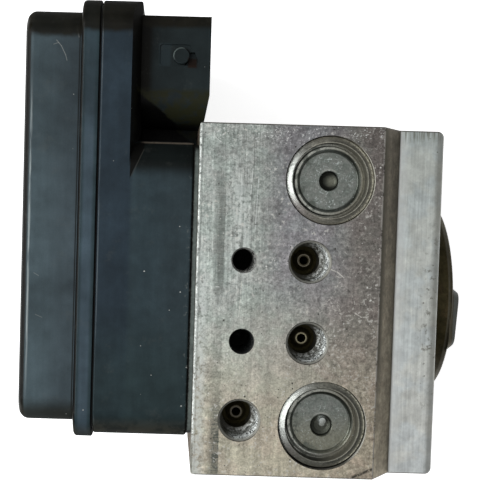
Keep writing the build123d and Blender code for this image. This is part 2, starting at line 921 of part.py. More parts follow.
with BuildPart() as motor_brushes:
    with BuildSketch(plane_x(56.15)):
        with Locations((py(AXIS_V + 13.1), AXIS_Z), (py(AXIS_V - 13.1), AXIS_Z)):
            Rectangle(9.0, 5.0)
    extrude(amount=4.3)
    revolve(
        bar_x(AXIS_V, AXIS_Z, 55.0, 62.0, 8.65),
        axis=axis_x(AXIS_V, AXIS_Z),
        mode=Mode.SUBTRACT,
    )
motor_brushes.part.label = "motor_brushes"
export_step(motor_brushes.part, "parts/motor_brushes.step")

with BuildPart() as motor_magnets:
    with BuildSketch(plane_x(62.5)) as arcs:
        with Locations((py(AXIS_V), AXIS_Z)):
            Circle(28.9)
            Circle(18.6, mode=Mode.SUBTRACT)
            Rectangle(70.0, 15.0, mode=Mode.SUBTRACT)
    extrude(amount=10.5)
motor_magnets.part.label = "motor_magnets"
export_step(motor_magnets.part, "parts/motor_magnets.step")

with BuildPart() as pilot_bush:
    revolve(tube_x(AXIS_V, AXIS_Z, 24.3, 30.3, 3.54, 5.47), axis=axis_x(AXIS_V, AXIS_Z))
pilot_bush.part.label = "pilot_bush"
export_step(pilot_bush.part, "parts/pilot_bush.step")

with BuildPart() as front_bush:
    revolve(tube_x(AXIS_V, AXIS_Z, 46.5, 53.6, 4.04, 5.5), axis=axis_x(AXIS_V, AXIS_Z))
front_bush.part.label = "front_bush"
export_step(front_bush.part, "parts/front_bush.step")

with BuildPart() as rear_bush:
    revolve(
        tube_x(AXIS_V, AXIS_Z, CAN_END - 4.4, CAN_END - 0.4, 3.04, 5.48),
        axis=axis_x(AXIS_V, AXIS_Z),
    )
rear_bush.part.label = "rear_bush"
export_step(rear_bush.part, "parts/rear_bush.step")

# shaft with the eccentric journal turned on it
with BuildPart() as motor_shaft:
    revolve(
        turned_x(
            AXIS_V,
            AXIS_Z,
            [
                (24.6, 0),
                (24.6, 3.2),
                (24.9, 3.5),
                (32.0, 3.5),
                (32.0, 4.0),
                (73.0, 4.0),
                (73.0, 3.0),
                (76.8, 3.0),
                (77.1, 2.7),
                (77.1, 0),
            ],
        ),
        axis=axis_x(AXIS_V, AXIS_Z),
    )
    revolve(
        bar_x(AXIS_V, AXIS_Z + ECC_OFFSET, 33.2, 43.4, 6.0),
        axis=axis_x(AXIS_V, AXIS_Z + ECC_OFFSET),
    )
    revolve(
        bar_x(AXIS_V, AXIS_Z + ECC_OFFSET, 43.4, 44.8, 7.2),
        axis=axis_x(AXIS_V, AXIS_Z + ECC_OFFSET),
    )
motor_shaft.part.label = "motor_shaft"
export_step(motor_shaft.part, "parts/motor_shaft.step")

with BuildPart() as eccentric_ring:
    revolve(
        turned_x(
            AXIS_V,
            AXIS_Z + ECC_OFFSET,
            [
                (33.4, 6.05),
                (43.0, 6.05),
                (43.0, RING_R - 0.4),
                (42.6, RING_R),
                (33.8, RING_R),
                (33.4, RING_R - 0.4),
            ],
        ),
        axis=axis_x(AXIS_V, AXIS_Z + ECC_OFFSET),
    )
eccentric_ring.part.label = "eccentric_ring"
export_step(eccentric_ring.part, "parts/eccentric_ring.step")

SLOTS = 8
with BuildPart() as rotor_core:
    with BuildSketch(plane_x(63.5)):
        with Locations((py(AXIS_V), AXIS_Z)):
            Circle(17.8)
            Circle(4.03, mode=Mode.SUBTRACT)
            with PolarLocations(13.6, SLOTS, start_angle=22.5):
                Rectangle(7.0, 4.6, mode=Mode.SUBTRACT)
            with PolarLocations(17.4, SLOTS, start_angle=22.5):
                Rectangle(2.4, 2.0, mode=Mode.SUBTRACT)
    extrude(amount=8.6)
rotor_core.part.label = "rotor_core"
export_step(rotor_core.part, "parts/rotor_core.step")

with BuildPart() as rotor_windings:
    with BuildSketch(plane_x(62.2)):
        with Locations((py(AXIS_V), AXIS_Z)):
            with PolarLocations(13.5, SLOTS, start_angle=22.5):
                Rectangle(6.4, 4.2)
    extrude(amount=11.0)
    revolve(tube_x(AXIS_V, AXIS_Z, 61.7, 63.4, 9.0, 16.6), axis=axis_x(AXIS_V, AXIS_Z))
    revolve(tube_x(AXIS_V, AXIS_Z, 72.2, 73.2, 9.0, 16.6), axis=axis_x(AXIS_V, AXIS_Z))
rotor_windings.part.label = "rotor_windings"
export_step(rotor_windings.part, "parts/rotor_windings.step")

with BuildPart() as commutator:
    with BuildSketch(plane_x(55.9)):
        with Locations((py(AXIS_V), AXIS_Z)):
            Circle(8.4)
            Circle(4.03, mode=Mode.SUBTRACT)
            with PolarLocations(8.2, SLOTS):
                Rectangle(1.6, 0.6, mode=Mode.SUBTRACT)
    extrude(amount=5.6)
commutator.part.label = "commutator"
export_step(commutator.part, "parts/commutator.step")

with BuildPart() as motor_lead:
    revolve(
        turned_x(
            52.0,
            OUTLET_Z,
            [
                (-18.5, 0),
                (-18.5, 0.9),
                (-2.0, 0.9),
                (-2.0, 2.05),
                (55.4, 2.05),
                (55.4, 0.9),
                (58.5, 0.9),
                (58.5, 0),
            ],
        ),
        axis=axis_x(52.0, OUTLET_Z),
    )
motor_lead.part.label = "motor_lead"
export_step(motor_lead.part, "parts/motor_lead.step")

# ============================================================== control unit
FLOOR_L, FLOOR_R = -21.0, -19.0     # floor between board chamber and coil chamber

# coil box: square towards the flange, rounded where it meets the block
with BuildPart() as coil_box:
    extrude(
        rounded(plane_x(-24.0), BOX_V0, BOX_V1, ECU_Z0, ECU_Z1, 8.0),
        amount=ECU_RIGHT + 24.0,
    )
    fillet(coil_box.faces().sort_by(Axis.X)[-1].edges(), radius=0.8)

# connector shroud: well rounded at its lower side, mouth cut back there
with BuildPart() as shroud:
    with BuildSketch(plane_x(FLANGE_R - 0.5)) as outline:
        with Locations((py((SOCKET_V0 + SOCKET_V1) / 2), (SOCKET_Z0 + SOCKET_Z1) / 2)):
            Rectangle(SOCKET_V1 - SOCKET_V0, SOCKET_Z1 - SOCKET_Z0)
        shroud_corners = outline.vertices().sort_by(Axis.X)
        fillet(shroud_corners[:2], radius=8.0)
        fillet(shroud_corners[2:], radius=2.2)
    extrude(amount=SOCKET_END - FLANGE_R + 0.5)
    with BuildSketch(Plane.XY.offset(SOCKET_Z0 - 1.0)):
        with BuildLine():
            Polyline(
                (px(SOCKET_END + 1.0), py(109.0)),
                (px(SOCKET_END), py(109.0)),
                (px(SOCKET_END - 1.4), py(SOCKET_V0)),
                (px(SOCKET_END - 1.4), py(SOCKET_V0 - 1.0)),
                (px(SOCKET_END + 1.0), py(SOCKET_V0 - 1.0)),
                close=True,
            )
        make_face()
    extrude(amount=SOCKET_Z1 - SOCKET_Z0 + 2.0, mode=Mode.SUBTRACT)

# locking nub on the shroud's front
with BuildPart() as nub:
    with BuildSketch(Plane.XY.offset(SOCKET_Z1 - 1.0)):
        with Locations((px(-5.85), py(120.3))):
            Circle(2.5)
    extrude(amount=1.5)
    fillet(nub.faces().sort_by(Axis.Z)[-1].edges(), radius=0.4)

with BuildPart() as ecu_housing:
    # flange plate
    extrude(
        rounded(plane_x(SEAM_R), ECU_V0, ECU_V1, ECU_Z0, ECU_Z1, 8.0),
        amount=FLANGE_R - SEAM_R,
    )
    # its front edge leans back beside the connector
    with BuildSketch(plane_y(ECU_V0 - 1.0)):
        with BuildLine():
            Polyline(
                (ECU_Z1 + 1.0, px(-20.2)),
                (SOCKET_Z1 - 0.3, px(FLANGE_R)),
                (SOCKET_Z1 - 0.3, px(FLANGE_R + 1.0)),
                (ECU_Z1 + 1.0, px(FLANGE_R + 1.0)),
                close=True,
            )
        make_face()
    extrude(amount=ECU_V1 - ECU_V0 + 2.0, mode=Mode.SUBTRACT)
    # rounded seam edge
    fillet(
        ecu_housing.faces().sort_by(Axis.X)[0].edges(),
        radius=0.45,
    )
    add(coil_box.part)
    add(shroud.part)
    # web between coil box and shroud
    with BuildSketch(plane_x(FLANGE_R - 0.5)):
        with Locations((py((BOX_V1 - 0.6 + SOCKET_V0 + 1.5) / 2), 39.0)):
            Rectangle(SOCKET_V0 - BOX_V1 + 2.1, 34.0)
    extrude(amount=-FLANGE_R + 0.5 - 0.15)
    # chamber for the circuit board
    extrude(
        rounded(plane_x(SEAM_R - 1.0), 11.8, 132.4, 5.2, 82.8, 5.0),
        amount=FLOOR_L - SEAM_R + 1.0,
        mode=Mode.SUBTRACT,
    )
    # groove for the cover seal
    with BuildSketch(plane_x(SEAM_R)):
        with Locations((py((ECU_V0 + ECU_V1) / 2), (ECU_Z0 + ECU_Z1) / 2)):
            RectangleRounded(ECU_V1 - ECU_V0 - 2.6, ECU_Z1 - ECU_Z0 - 2.6, 6.6)
            RectangleRounded(
                ECU_V1 - ECU_V0 - 4.6, ECU_Z1 - ECU_Z0 - 4.6, 5.6, mode=Mode.SUBTRACT
            )
    extrude(amount=0.9, mode=Mode.SUBTRACT)
    # coil chamber, open towards the block
    extrude(
        rounded(plane_x(FLOOR_R), BOX_V0 + WALL, BOX_V1 - WALL, ECU_Z0 + WALL, ECU_Z1 - WALL, 5.0),
        amount=ECU_RIGHT - FLOOR_R + 1.0,
        mode=Mode.SUBTRACT,
    )
    # connector socket, open towards +X
    with BuildSketch(plane_x(-14.6)) as socket:
        with Locations((py((SOCKET_V0 + SOCKET_V1) / 2), (SOCKET_Z0 + SOCKET_Z1) / 2)):
            Rectangle(SOCKET_V1 - SOCKET_V0 - 2 * WALL, SOCKET_Z1 - SOCKET_Z0 - 2 * WALL)
        socket_corners = socket.vertices().sort_by(Axis.X)
        fillet(socket_corners[:2], radius=5.8)
        fillet(socket_corners[2:], radius=1.2)
    extrude(amount=SOCKET_END + 14.6 + 1.0, mode=Mode.SUBTRACT)
    # shallow square pocket with a round locking nub on the shroud's front
    with BuildSketch(Plane.XY.offset(SOCKET_Z1 - 0.45)):
        with Locations((px(-7.6), py(120.5))):
            RectangleRounded(9.2, 6.2, 0.9)
    extrude(amount=2.0, mode=Mode.SUBTRACT)
    add(nub.part)
    with BuildSketch(Plane.XY.offset(SOCKET_Z1 - 1.6)):
        with BuildLine():
            Polyline(
                (px(-3.3), py(121.4)),
                (px(-1.9), py(121.4)),
                (px(-0.9), py(118.6)),
                (px(-1.5), py(117.7)),
                (px(-5.2), py(117.6)),
                (px(-3.7), py(118.8)),
                close=True,
            )
        make_face()
    extrude(amount=2.0, mode=Mode.SUBTRACT)
    # columns for the fixing screws, from the floor to the block
    with BuildSketch(plane_x(FLOOR_L)):
        with Locations(*[(py(v), z) for v, z in SCREW_SPOTS]):
            Circle(3.6)
    extrude(amount=ECU_RIGHT - FLOOR_L - 0.1)
    with BuildSketch(plane_x(FLOOR_L - 1.0)):
        with Locations(*[(py(v), z) for v, z in SCREW_SPOTS]):
            Circle(2.2)
    extrude(amount=ECU_RIGHT - FLOOR_L + 2.0, mode=Mode.SUBTRACT)
    # passage for the motor lead
    with BuildSketch(plane_x(FLOOR_L - 1.0)):
        with Locations((py(52.0), OUTLET_Z)):
            Circle(1.2)
    extrude(amount=3.0, mode=Mode.SUBTRACT)
    # posts under the circuit board
    with BuildSketch(plane_x(FLOOR_L + 0.2)):
        with Locations(*[(py(v), z) for v, z in ((15.5, 20.0), (15.5, 68.0), (128.0, 10.0), (128.0, 78.0))]):
            Circle(2.2)
    extrude(amount=-4.35)
ecu_housing.part.label = "ecu_housing"
export_step(ecu_housing.part, "parts/ecu_housing.step")

# flange of the cover
with BuildPart() as cover_rim:
    extrude(
        rounded(plane_x(COVER_STEP), RIM_V0, ECU_V1, ECU_Z0, ECU_Z1, 8.0),
        amount=SEAM_L - COVER_STEP,
    )
    fillet(cover_rim.faces().sort_by(Axis.X)[-1].edges(), radius=0.45)
    fillet(cover_rim.faces().sort_by(Axis.X)[0].edges(), radius=1.1)

with BuildPart() as ecu_cover:
    extrude(
        rounded(plane_x(ECU_LEFT), COVER_V0, COVER_V1, COVER_Z0, COVER_Z1, 7.0),
        amount=COVER_STEP - ECU_LEFT + 1.0,
    )
    fillet(ecu_cover.faces().sort_by(Axis.X)[0].edges(), radius=2.8)
    add(cover_rim.part)
    extrude(
        rounded(plane_x(ECU_LEFT + 2.2), COVER_V0 + 2.2, COVER_V1 - 2.2, COVER_Z0 + 2.2, COVER_Z1 - 2.2, 5.0),
        amount=SEAM_L - ECU_LEFT,
        mode=Mode.SUBTRACT,
    )
ecu_cover.part.label = "ecu_cover"
export_step(ecu_cover.part, "parts/ecu_cover.step")

with BuildPart() as cover_seal:
    with BuildSketch(plane_x(SEAM_L)):
        with Locations((py((ECU_V0 + ECU_V1) / 2), (ECU_Z0 + ECU_Z1) / 2)):
            RectangleRounded(ECU_V1 - ECU_V0 - 2.8, ECU_Z1 - ECU_Z0 - 2.8, 6.5)
            RectangleRounded(
                ECU_V1 - ECU_V0 - 4.4, ECU_Z1 - ECU_Z0 - 4.4, 5.7, mode=Mode.SUBTRACT
            )
    extrude(amount=SEAM_R - SEAM_L + 0.85)
cover_seal.part.label = "cover_seal"
export_step(cover_seal.part, "parts/cover_seal.step")

with BuildPart() as block_seal:
    with BuildSketch(plane_x(ECU_RIGHT)):
        with Locations((py((BOX_V0 + BOX_V1) / 2), (ECU_Z0 + ECU_Z1) / 2)):
            RectangleRounded(BOX_V1 - BOX_V0 - 1.6, ECU_Z1 - ECU_Z0 - 1.6, 6.4)
            RectangleRounded(
                BOX_V1 - BOX_V0 - 4.8, ECU_Z1 - ECU_Z0 - 4.8, 5.0, mode=Mode.SUBTRACT
            )
    extrude(amount=-ECU_RIGHT)
block_seal.part.label = "block_seal"
export_step(block_seal.part, "parts/block_seal.step")

with BuildPart() as ecu_screws:
    for v, z in SCREW_SPOTS:
        revolve(
            turned_x(
                v,
                z,
                [
                    (FLOOR_L - 2.6, 0),
                    (FLOOR_L - 2.6, 2.6),
                    (FLOOR_L - 1.9, 3.5),
                    (FLOOR_L, 3.5),
                    (FLOOR_L, 2.0),
                    (7.0, 2.0),
                    (7.6, 1.5),
                    (7.6, 0),
                ],
            ),
            axis=axis_x(v, z),
        )
        with BuildSketch(
            Plane(origin=(px(FLOOR_L - 3.0), py(v), z), x_dir=(0, 1, 0), z_dir=(1, 0, 0))
        ):
            RegularPolygon(radius=1.7, side_count=6)
        extrude(amount=2.0, mode=Mode.SUBTRACT)
ecu_screws.part.label = "ecu_screws"
export_step(ecu_screws.part, "parts/ecu_screws.step")

BOARD_U = -26.8
with BuildPart() as circuit_board:
    extrude(rounded(plane_x(BOARD_U), 12.6, 131.6, 6.0, 82.0, 4.0), amount=1.6)
circuit_board.part.label = "circuit_board"
export_step(circuit_board.part, "parts/circuit_board.step")

with BuildPart() as board_chips:
    # processor, valve drivers and supply chips on the cover side of the board
    with BuildSketch(plane_x(BOARD_U)):
        with Locations((py(70.0), 46.0)):
            Rectangle(16.0, 16.0)
        with Locations((py(44.0), 30.0), (py(44.0), 60.0)):
            Rectangle(12.0, 12.0)
        with Locations((py(92.0), 24.0), (py(92.0), 40.0), (py(92.0), 60.0)):
            Rectangle(9.0, 6.0)
        with Locations(*[(py(24.0), 18.0 + 12.0 * k) for k in range(5)]):
            Rectangle(9.5, 6.6)
    extrude(amount=-2.0)
board_chips.part.label = "board_chips"
export_step(board_chips.part, "parts/board_chips.step")

with BuildPart() as board_capacitors:
    with BuildSketch(plane_x(BOARD_U)):
        with Locations((py(112.0), 20.0), (py(112.0), 68.0)):
            Circle(6.0)
    extrude(amount=-9.5)
    with BuildSketch(plane_x(BOARD_U)):
        with Locations((py(112.0), 36.0), (py(112.0), 52.0), (py(60.0), 72.0)):
            Rectangle(7.0, 4.2)
    extrude(amount=-3.4)
board_capacitors.part.label = "board_capacitors"
export_step(board_capacitors.part, "parts/board_capacitors.step")

with BuildPart() as connector_pins:
    # two rows of signal pins and four supply blades, moulded into the socket floor
    with BuildSketch(plane_x(BOARD_U + 1.6)):
        signal = [(py(v), 30.0 + 3.2 * k) for k in range(11) for v in (111.4, 120.6)]
        with Locations(*signal):
            Rectangle(0.8, 0.8)
        with Locations(*[(py(116.0), z) for z in (20.6, 25.6, 67.0, 72.0)]):
            Rectangle(6.0, 1.0)
    extrude(amount=-4.5 - (BOARD_U + 1.6))
connector_pins.part.label = "connector_pins"
export_step(connector_pins.part, "parts/connector_pins.step")
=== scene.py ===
import json
import math

import bpy
from mathutils import Matrix, Vector


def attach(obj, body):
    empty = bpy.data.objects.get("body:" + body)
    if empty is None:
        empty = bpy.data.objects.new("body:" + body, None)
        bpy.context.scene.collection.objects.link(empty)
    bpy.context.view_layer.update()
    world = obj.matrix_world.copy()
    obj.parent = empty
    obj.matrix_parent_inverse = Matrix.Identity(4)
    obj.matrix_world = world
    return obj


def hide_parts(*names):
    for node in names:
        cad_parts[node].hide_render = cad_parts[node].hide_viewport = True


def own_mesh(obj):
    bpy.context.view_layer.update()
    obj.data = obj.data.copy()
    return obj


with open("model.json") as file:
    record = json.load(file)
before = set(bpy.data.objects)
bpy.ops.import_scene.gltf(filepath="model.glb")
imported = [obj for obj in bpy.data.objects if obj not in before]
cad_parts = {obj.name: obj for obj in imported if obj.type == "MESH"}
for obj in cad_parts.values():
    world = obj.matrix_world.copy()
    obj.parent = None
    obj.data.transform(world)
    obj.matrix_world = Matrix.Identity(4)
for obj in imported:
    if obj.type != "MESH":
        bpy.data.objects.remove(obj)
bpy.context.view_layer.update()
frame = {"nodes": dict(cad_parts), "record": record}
nodes = frame["nodes"]

# part coordinates in mm: u from the block's left face, v from its lower end
UX, VY = -14.75, -67.8


def mm(u, v, z):
    return Vector(((u + UX) / 1000.0, (v + VY) / 1000.0, z / 1000.0))


# ------------------------------------------------------------------ node graphs
class Graph:
    """A material's node tree, written as arithmetic on sockets."""

    def __init__(self, name):
        self.mat = bpy.data.materials.new(name)
        self.mat.use_nodes = True
        self.nt = self.mat.node_tree
        self.nt.nodes.clear()
        self.out = self.nt.nodes.new("ShaderNodeOutputMaterial")
        coord = self.nt.nodes.new("ShaderNodeTexCoord")
        split = self.nt.nodes.new("ShaderNodeSeparateXYZ")
        self.link(coord.outputs["Object"], split.inputs[0])
        self.u = self.sub(self.mul(split.outputs[0], 1000.0), UX)
        self.v = self.sub(self.mul(split.outputs[1], 1000.0), VY)
        self.z = self.mul(split.outputs[2], 1000.0)
        self.p = self.vec(self.u, self.v, self.z)
        geo = self.nt.nodes.new("ShaderNodeNewGeometry")
        nsplit = self.nt.nodes.new("ShaderNodeSeparateXYZ")
        self.link(geo.outputs["Normal"], nsplit.inputs[0])
        self.nx, self.ny, self.nz = nsplit.outputs[0], nsplit.outputs[1], nsplit.outputs[2]

    def link(self, a, b):
        self.nt.links.new(a, b)

    def put(self, value, socket):
        if isinstance(value, bpy.types.NodeSocket):
            self.link(value, socket)
        elif isinstance(value, (tuple, list)):
            want = len(socket.default_value)
            value = tuple(value)
            if want == 4 and len(value) == 3:
                value = value + (1.0,)
            socket.default_value = value
        else:
            socket.default_value = value

    def math(self, op, a, b=None, c=None, clamp=False):
        n = self.nt.nodes.new("ShaderNodeMath")
        n.operation = op
        n.use_clamp = clamp
        self.put(a, n.inputs[0])
        if b is not None:
            self.put(b, n.inputs[1])
        if c is not None:
            self.put(c, n.inputs[2])
        return n.outputs[0]

    def add(self, a, b):
        return self.math("ADD", a, b)

    def sub(self, a, b):
        return self.math("SUBTRACT", a, b)

    def mul(self, a, b):
        return self.math("MULTIPLY", a, b)

    def div(self, a, b):
        return self.math("DIVIDE", a, b)

    def mn(self, a, b):
        return self.math("MINIMUM", a, b)

    def mx(self, a, b):
        return self.math("MAXIMUM", a, b)

    def absv(self, a):
        return self.math("ABSOLUTE", a)

    def inv(self, a):
        return self.math("SUBTRACT", 1.0, a, clamp=True)

    def sat(self, a):
        return self.math("ADD", a, 0.0, clamp=True)

    def smooth(self, a, lo, hi):
        """0 below lo, 1 above hi (or the reverse if lo > hi)."""
        n = self.nt.nodes.new("ShaderNodeMapRange")
        n.interpolation_type = "SMOOTHSTEP"
        self.put(a, n.inputs["Value"])
        if lo <= hi:
            n.inputs["From Min"].default_value = lo
            n.inputs["From Max"].default_value = hi
            n.inputs["To Min"].default_value = 0.0
            n.inputs["To Max"].default_value = 1.0
        else:
            n.inputs["From Min"].default_value = hi
            n.inputs["From Max"].default_value = lo
            n.inputs["To Min"].default_value = 1.0
            n.inputs["To Max"].default_value = 0.0
        return n.outputs["Result"]

    def band(self, a, lo, hi, soft):
        return self.mul(self.smooth(a, lo - soft, lo + soft), self.smooth(a, hi + soft, hi - soft))

    def vec(self, x, y, z):
        n = self.nt.nodes.new("ShaderNodeCombineXYZ")
        self.put(x, n.inputs[0])
        self.put(y, n.inputs[1])
        self.put(z, n.inputs[2])
        return n.outputs[0]

    def stretched(self, su, sv, sz, seed=0.0):
        return self.vec(
            self.math("MULTIPLY_ADD", self.u, su, seed * 7.31),
            self.math("MULTIPLY_ADD", self.v, sv, seed * 3.17),
            self.math("MULTIPLY_ADD", self.z, sz, seed * 5.93),
        )

    def shifted(self, vec, seed):
        n = self.nt.nodes.new("ShaderNodeVectorMath")
        n.operation = "ADD"
        self.link(vec, n.inputs[0])
        n.inputs[1].default_value = (17.3 * seed, 9.1 * seed + 3.7, 5.9 * seed + 1.9)
        return n.outputs[0]

    def noise(self, scale=1.0, detail=3.0, rough=0.55, vec=None, seed=0.0, distort=0.0):
        """Fractal noise, about 0.5, features of 1/scale mm."""
        n = self.nt.nodes.new("ShaderNodeTexNoise")
        n.noise_dimensions = "3D"
        self.link(self.shifted(vec if vec is not None else self.p, seed), n.inputs["Vector"])
        n.inputs["Scale"].default_value = scale
        n.inputs["Detail"].default_value = detail
        n.inputs["Roughness"].default_value = rough
        n.inputs["Distortion"].default_value = distort
        return n.outputs[0]

    def gain(self, value, amount, base=1.0):
        """base + amount * (value - 0.5)"""
        return self.math("MULTIPLY_ADD", value, amount, base - 0.5 * amount)

    def tones(self, *terms):
        """Product of several tone factors, never below 0.15."""
        t = terms[0]
        for k in terms[1:]:
            t = self.mul(t, k)
        return self.mx(t, 0.15)

    def cells(self, scale=1.0, seed=0.0, vec=None, randomness=1.0):
        """Distance to the nearest scattered point; also two of the cell's random numbers."""
        n = self.nt.nodes.new("ShaderNodeTexVoronoi")
        n.voronoi_dimensions = "3D"
        n.feature = "F1"
        self.link(self.shifted(vec if vec is not None else self.p, seed), n.inputs["Vector"])
        n.inputs["Scale"].default_value = scale
        n.inputs["Randomness"].default_value = randomness
        rnd = self.nt.nodes.new("ShaderNodeSeparateColor")
        self.link(n.outputs["Color"], rnd.inputs[0])
        return n.outputs["Distance"], rnd.outputs[0], rnd.outputs[1]

    def dots(self, scale, size, share, seed=0.0, soft=0.5):
        """Scattered small spots: about one in 1/share cells has a spot."""
        d, r1, r2 = self.cells(scale, seed)
        r = self.mul(self.smooth(r1, 1.0 - share, 1.0 - share * 0.7), self.math("MULTIPLY_ADD", r2, 0.6, 0.4))
        edge = self.mul(r, size)
        n = self.nt.nodes.new("ShaderNodeMapRange")
        n.interpolation_type = "SMOOTHSTEP"
        self.put(d, n.inputs["Value"])
        self.put(self.mul(edge, 1.0 - soft), n.inputs["From Min"])
        self.put(self.math("ADD", edge, 1e-4), n.inputs["From Max"])
        n.inputs["To Min"].default_value = 1.0
        n.inputs["To Max"].default_value = 0.0
        return self.mul(n.outputs["Result"], self.smooth(edge, 0.001, 0.02))

    def seg(self, a, b, width, soft=0.5):
        """Mask of a scratch from a to b, (u, v) in mm, half width in mm."""
        du, dv = b[0] - a[0], b[1] - a[1]
        ll = max(du * du + dv * dv, 1e-6)
        pu = self.sub(self.u, a[0])
        pv = self.sub(self.v, a[1])
        t = self.math("MULTIPLY_ADD", pu, du / ll, self.mul(pv, dv / ll), clamp=True)
        qu = self.math("MULTIPLY_ADD", t, -du, pu)
        qv = self.math("MULTIPLY_ADD", t, -dv, pv)
        d = self.math("SQRT", self.math("MULTIPLY_ADD", qu, qu, self.mul(qv, qv)))
        return self.smooth(d, width * (1 + soft), width * (1 - soft))

    def spot(self, u0, v0, ru, rv, power=1.0):
        """Soft elliptical spot, 1 in the middle."""
        a = self.mul(self.sub(self.u, u0), 1.0 / ru)
        b = self.mul(self.sub(self.v, v0), 1.0 / rv)
        r = self.math("SQRT", self.math("MULTIPLY_ADD", a, a, self.mul(b, b)))
        return self.smooth(r, 1.0, 1.0 - power)

    def ring(self, u0, v0):
        """Distance from the line through (u0, v0) along Z, in mm."""
        a = self.sub(self.u, u0)
        b = self.sub(self.v, v0)
        return self.math("SQRT", self.math("MULTIPLY_ADD", a, a, self.mul(b, b)))

    def mix(self, fac, a, b, blend="MIX"):
        n = self.nt.nodes.new("ShaderNodeMix")
        n.data_type = "RGBA"
        n.blend_type = blend
        n.clamp_factor = True
        self.put(fac, n.inputs[0])
        self.put(a, n.inputs[6])
        self.put(b, n.inputs[7])
        return n.outputs[2]

    def fmix(self, fac, a, b):
        n = self.nt.nodes.new("ShaderNodeMix")
        n.data_type = "FLOAT"
        n.clamp_factor = True
        self.put(fac, n.inputs[0])
        self.put(a, n.inputs[2])
        self.put(b, n.inputs[3])
        return n.outputs[0]

    def shade(self, colour, amount):
        """colour times a grey amount."""
        n = self.nt.nodes.new("ShaderNodeVectorMath")
        n.operation = "SCALE"
        self.put(colour, n.inputs[0])
        self.put(amount, n.inputs["Scale"])
        return n.outputs[0]

    def bump(self, height, distance=0.0001, strength=1.0, normal=None):
        n = self.nt.nodes.new("ShaderNodeBump")
        n.inputs["Strength"].default_value = strength
        n.inputs["Distance"].default_value = distance
        self.link(height, n.inputs["Height"])
        if normal is not None:
            self.link(normal, n.inputs["Normal"])
        return n.outputs[0]

    def finish(self, colour, rough, metallic=0.0, normal=None, specular=0.5, coat=0.0, coat_rough=0.2, ior=1.5, aniso=0.0):
        b = self.nt.nodes.new("ShaderNodeBsdfPrincipled")
        self.put(colour, b.inputs["Base Color"])
        self.put(rough, b.inputs["Roughness"])
        self.put(metallic, b.inputs["Metallic"])
        b.inputs["Specular IOR Level"].default_value = specular
        b.inputs["Coat Weight"].default_value = coat
        b.inputs["Coat Roughness"].default_value = coat_rough
        b.inputs["IOR"].default_value = ior
        b.inputs["Anisotropic"].default_value = aniso
        if normal is not None:
            self.link(normal, b.inputs["Normal"])
        self.link(b.outputs[0], self.out.inputs["Surface"])
        return self.mat


def near(g, value, centre, half):
    """1 close to centre, falling to 0 at half on each side."""
    return g.smooth(g.absv(g.sub(value, centre)), half, 0.0)


# ------------------------------------------------------------------ valve block
PORT_SPOTS = [(32.0, 61.5), (32.0, 38.5), (13.4, 16.0)]
TAP_SPOTS = [(13.4, 61.5), (13.4, 38.5)]


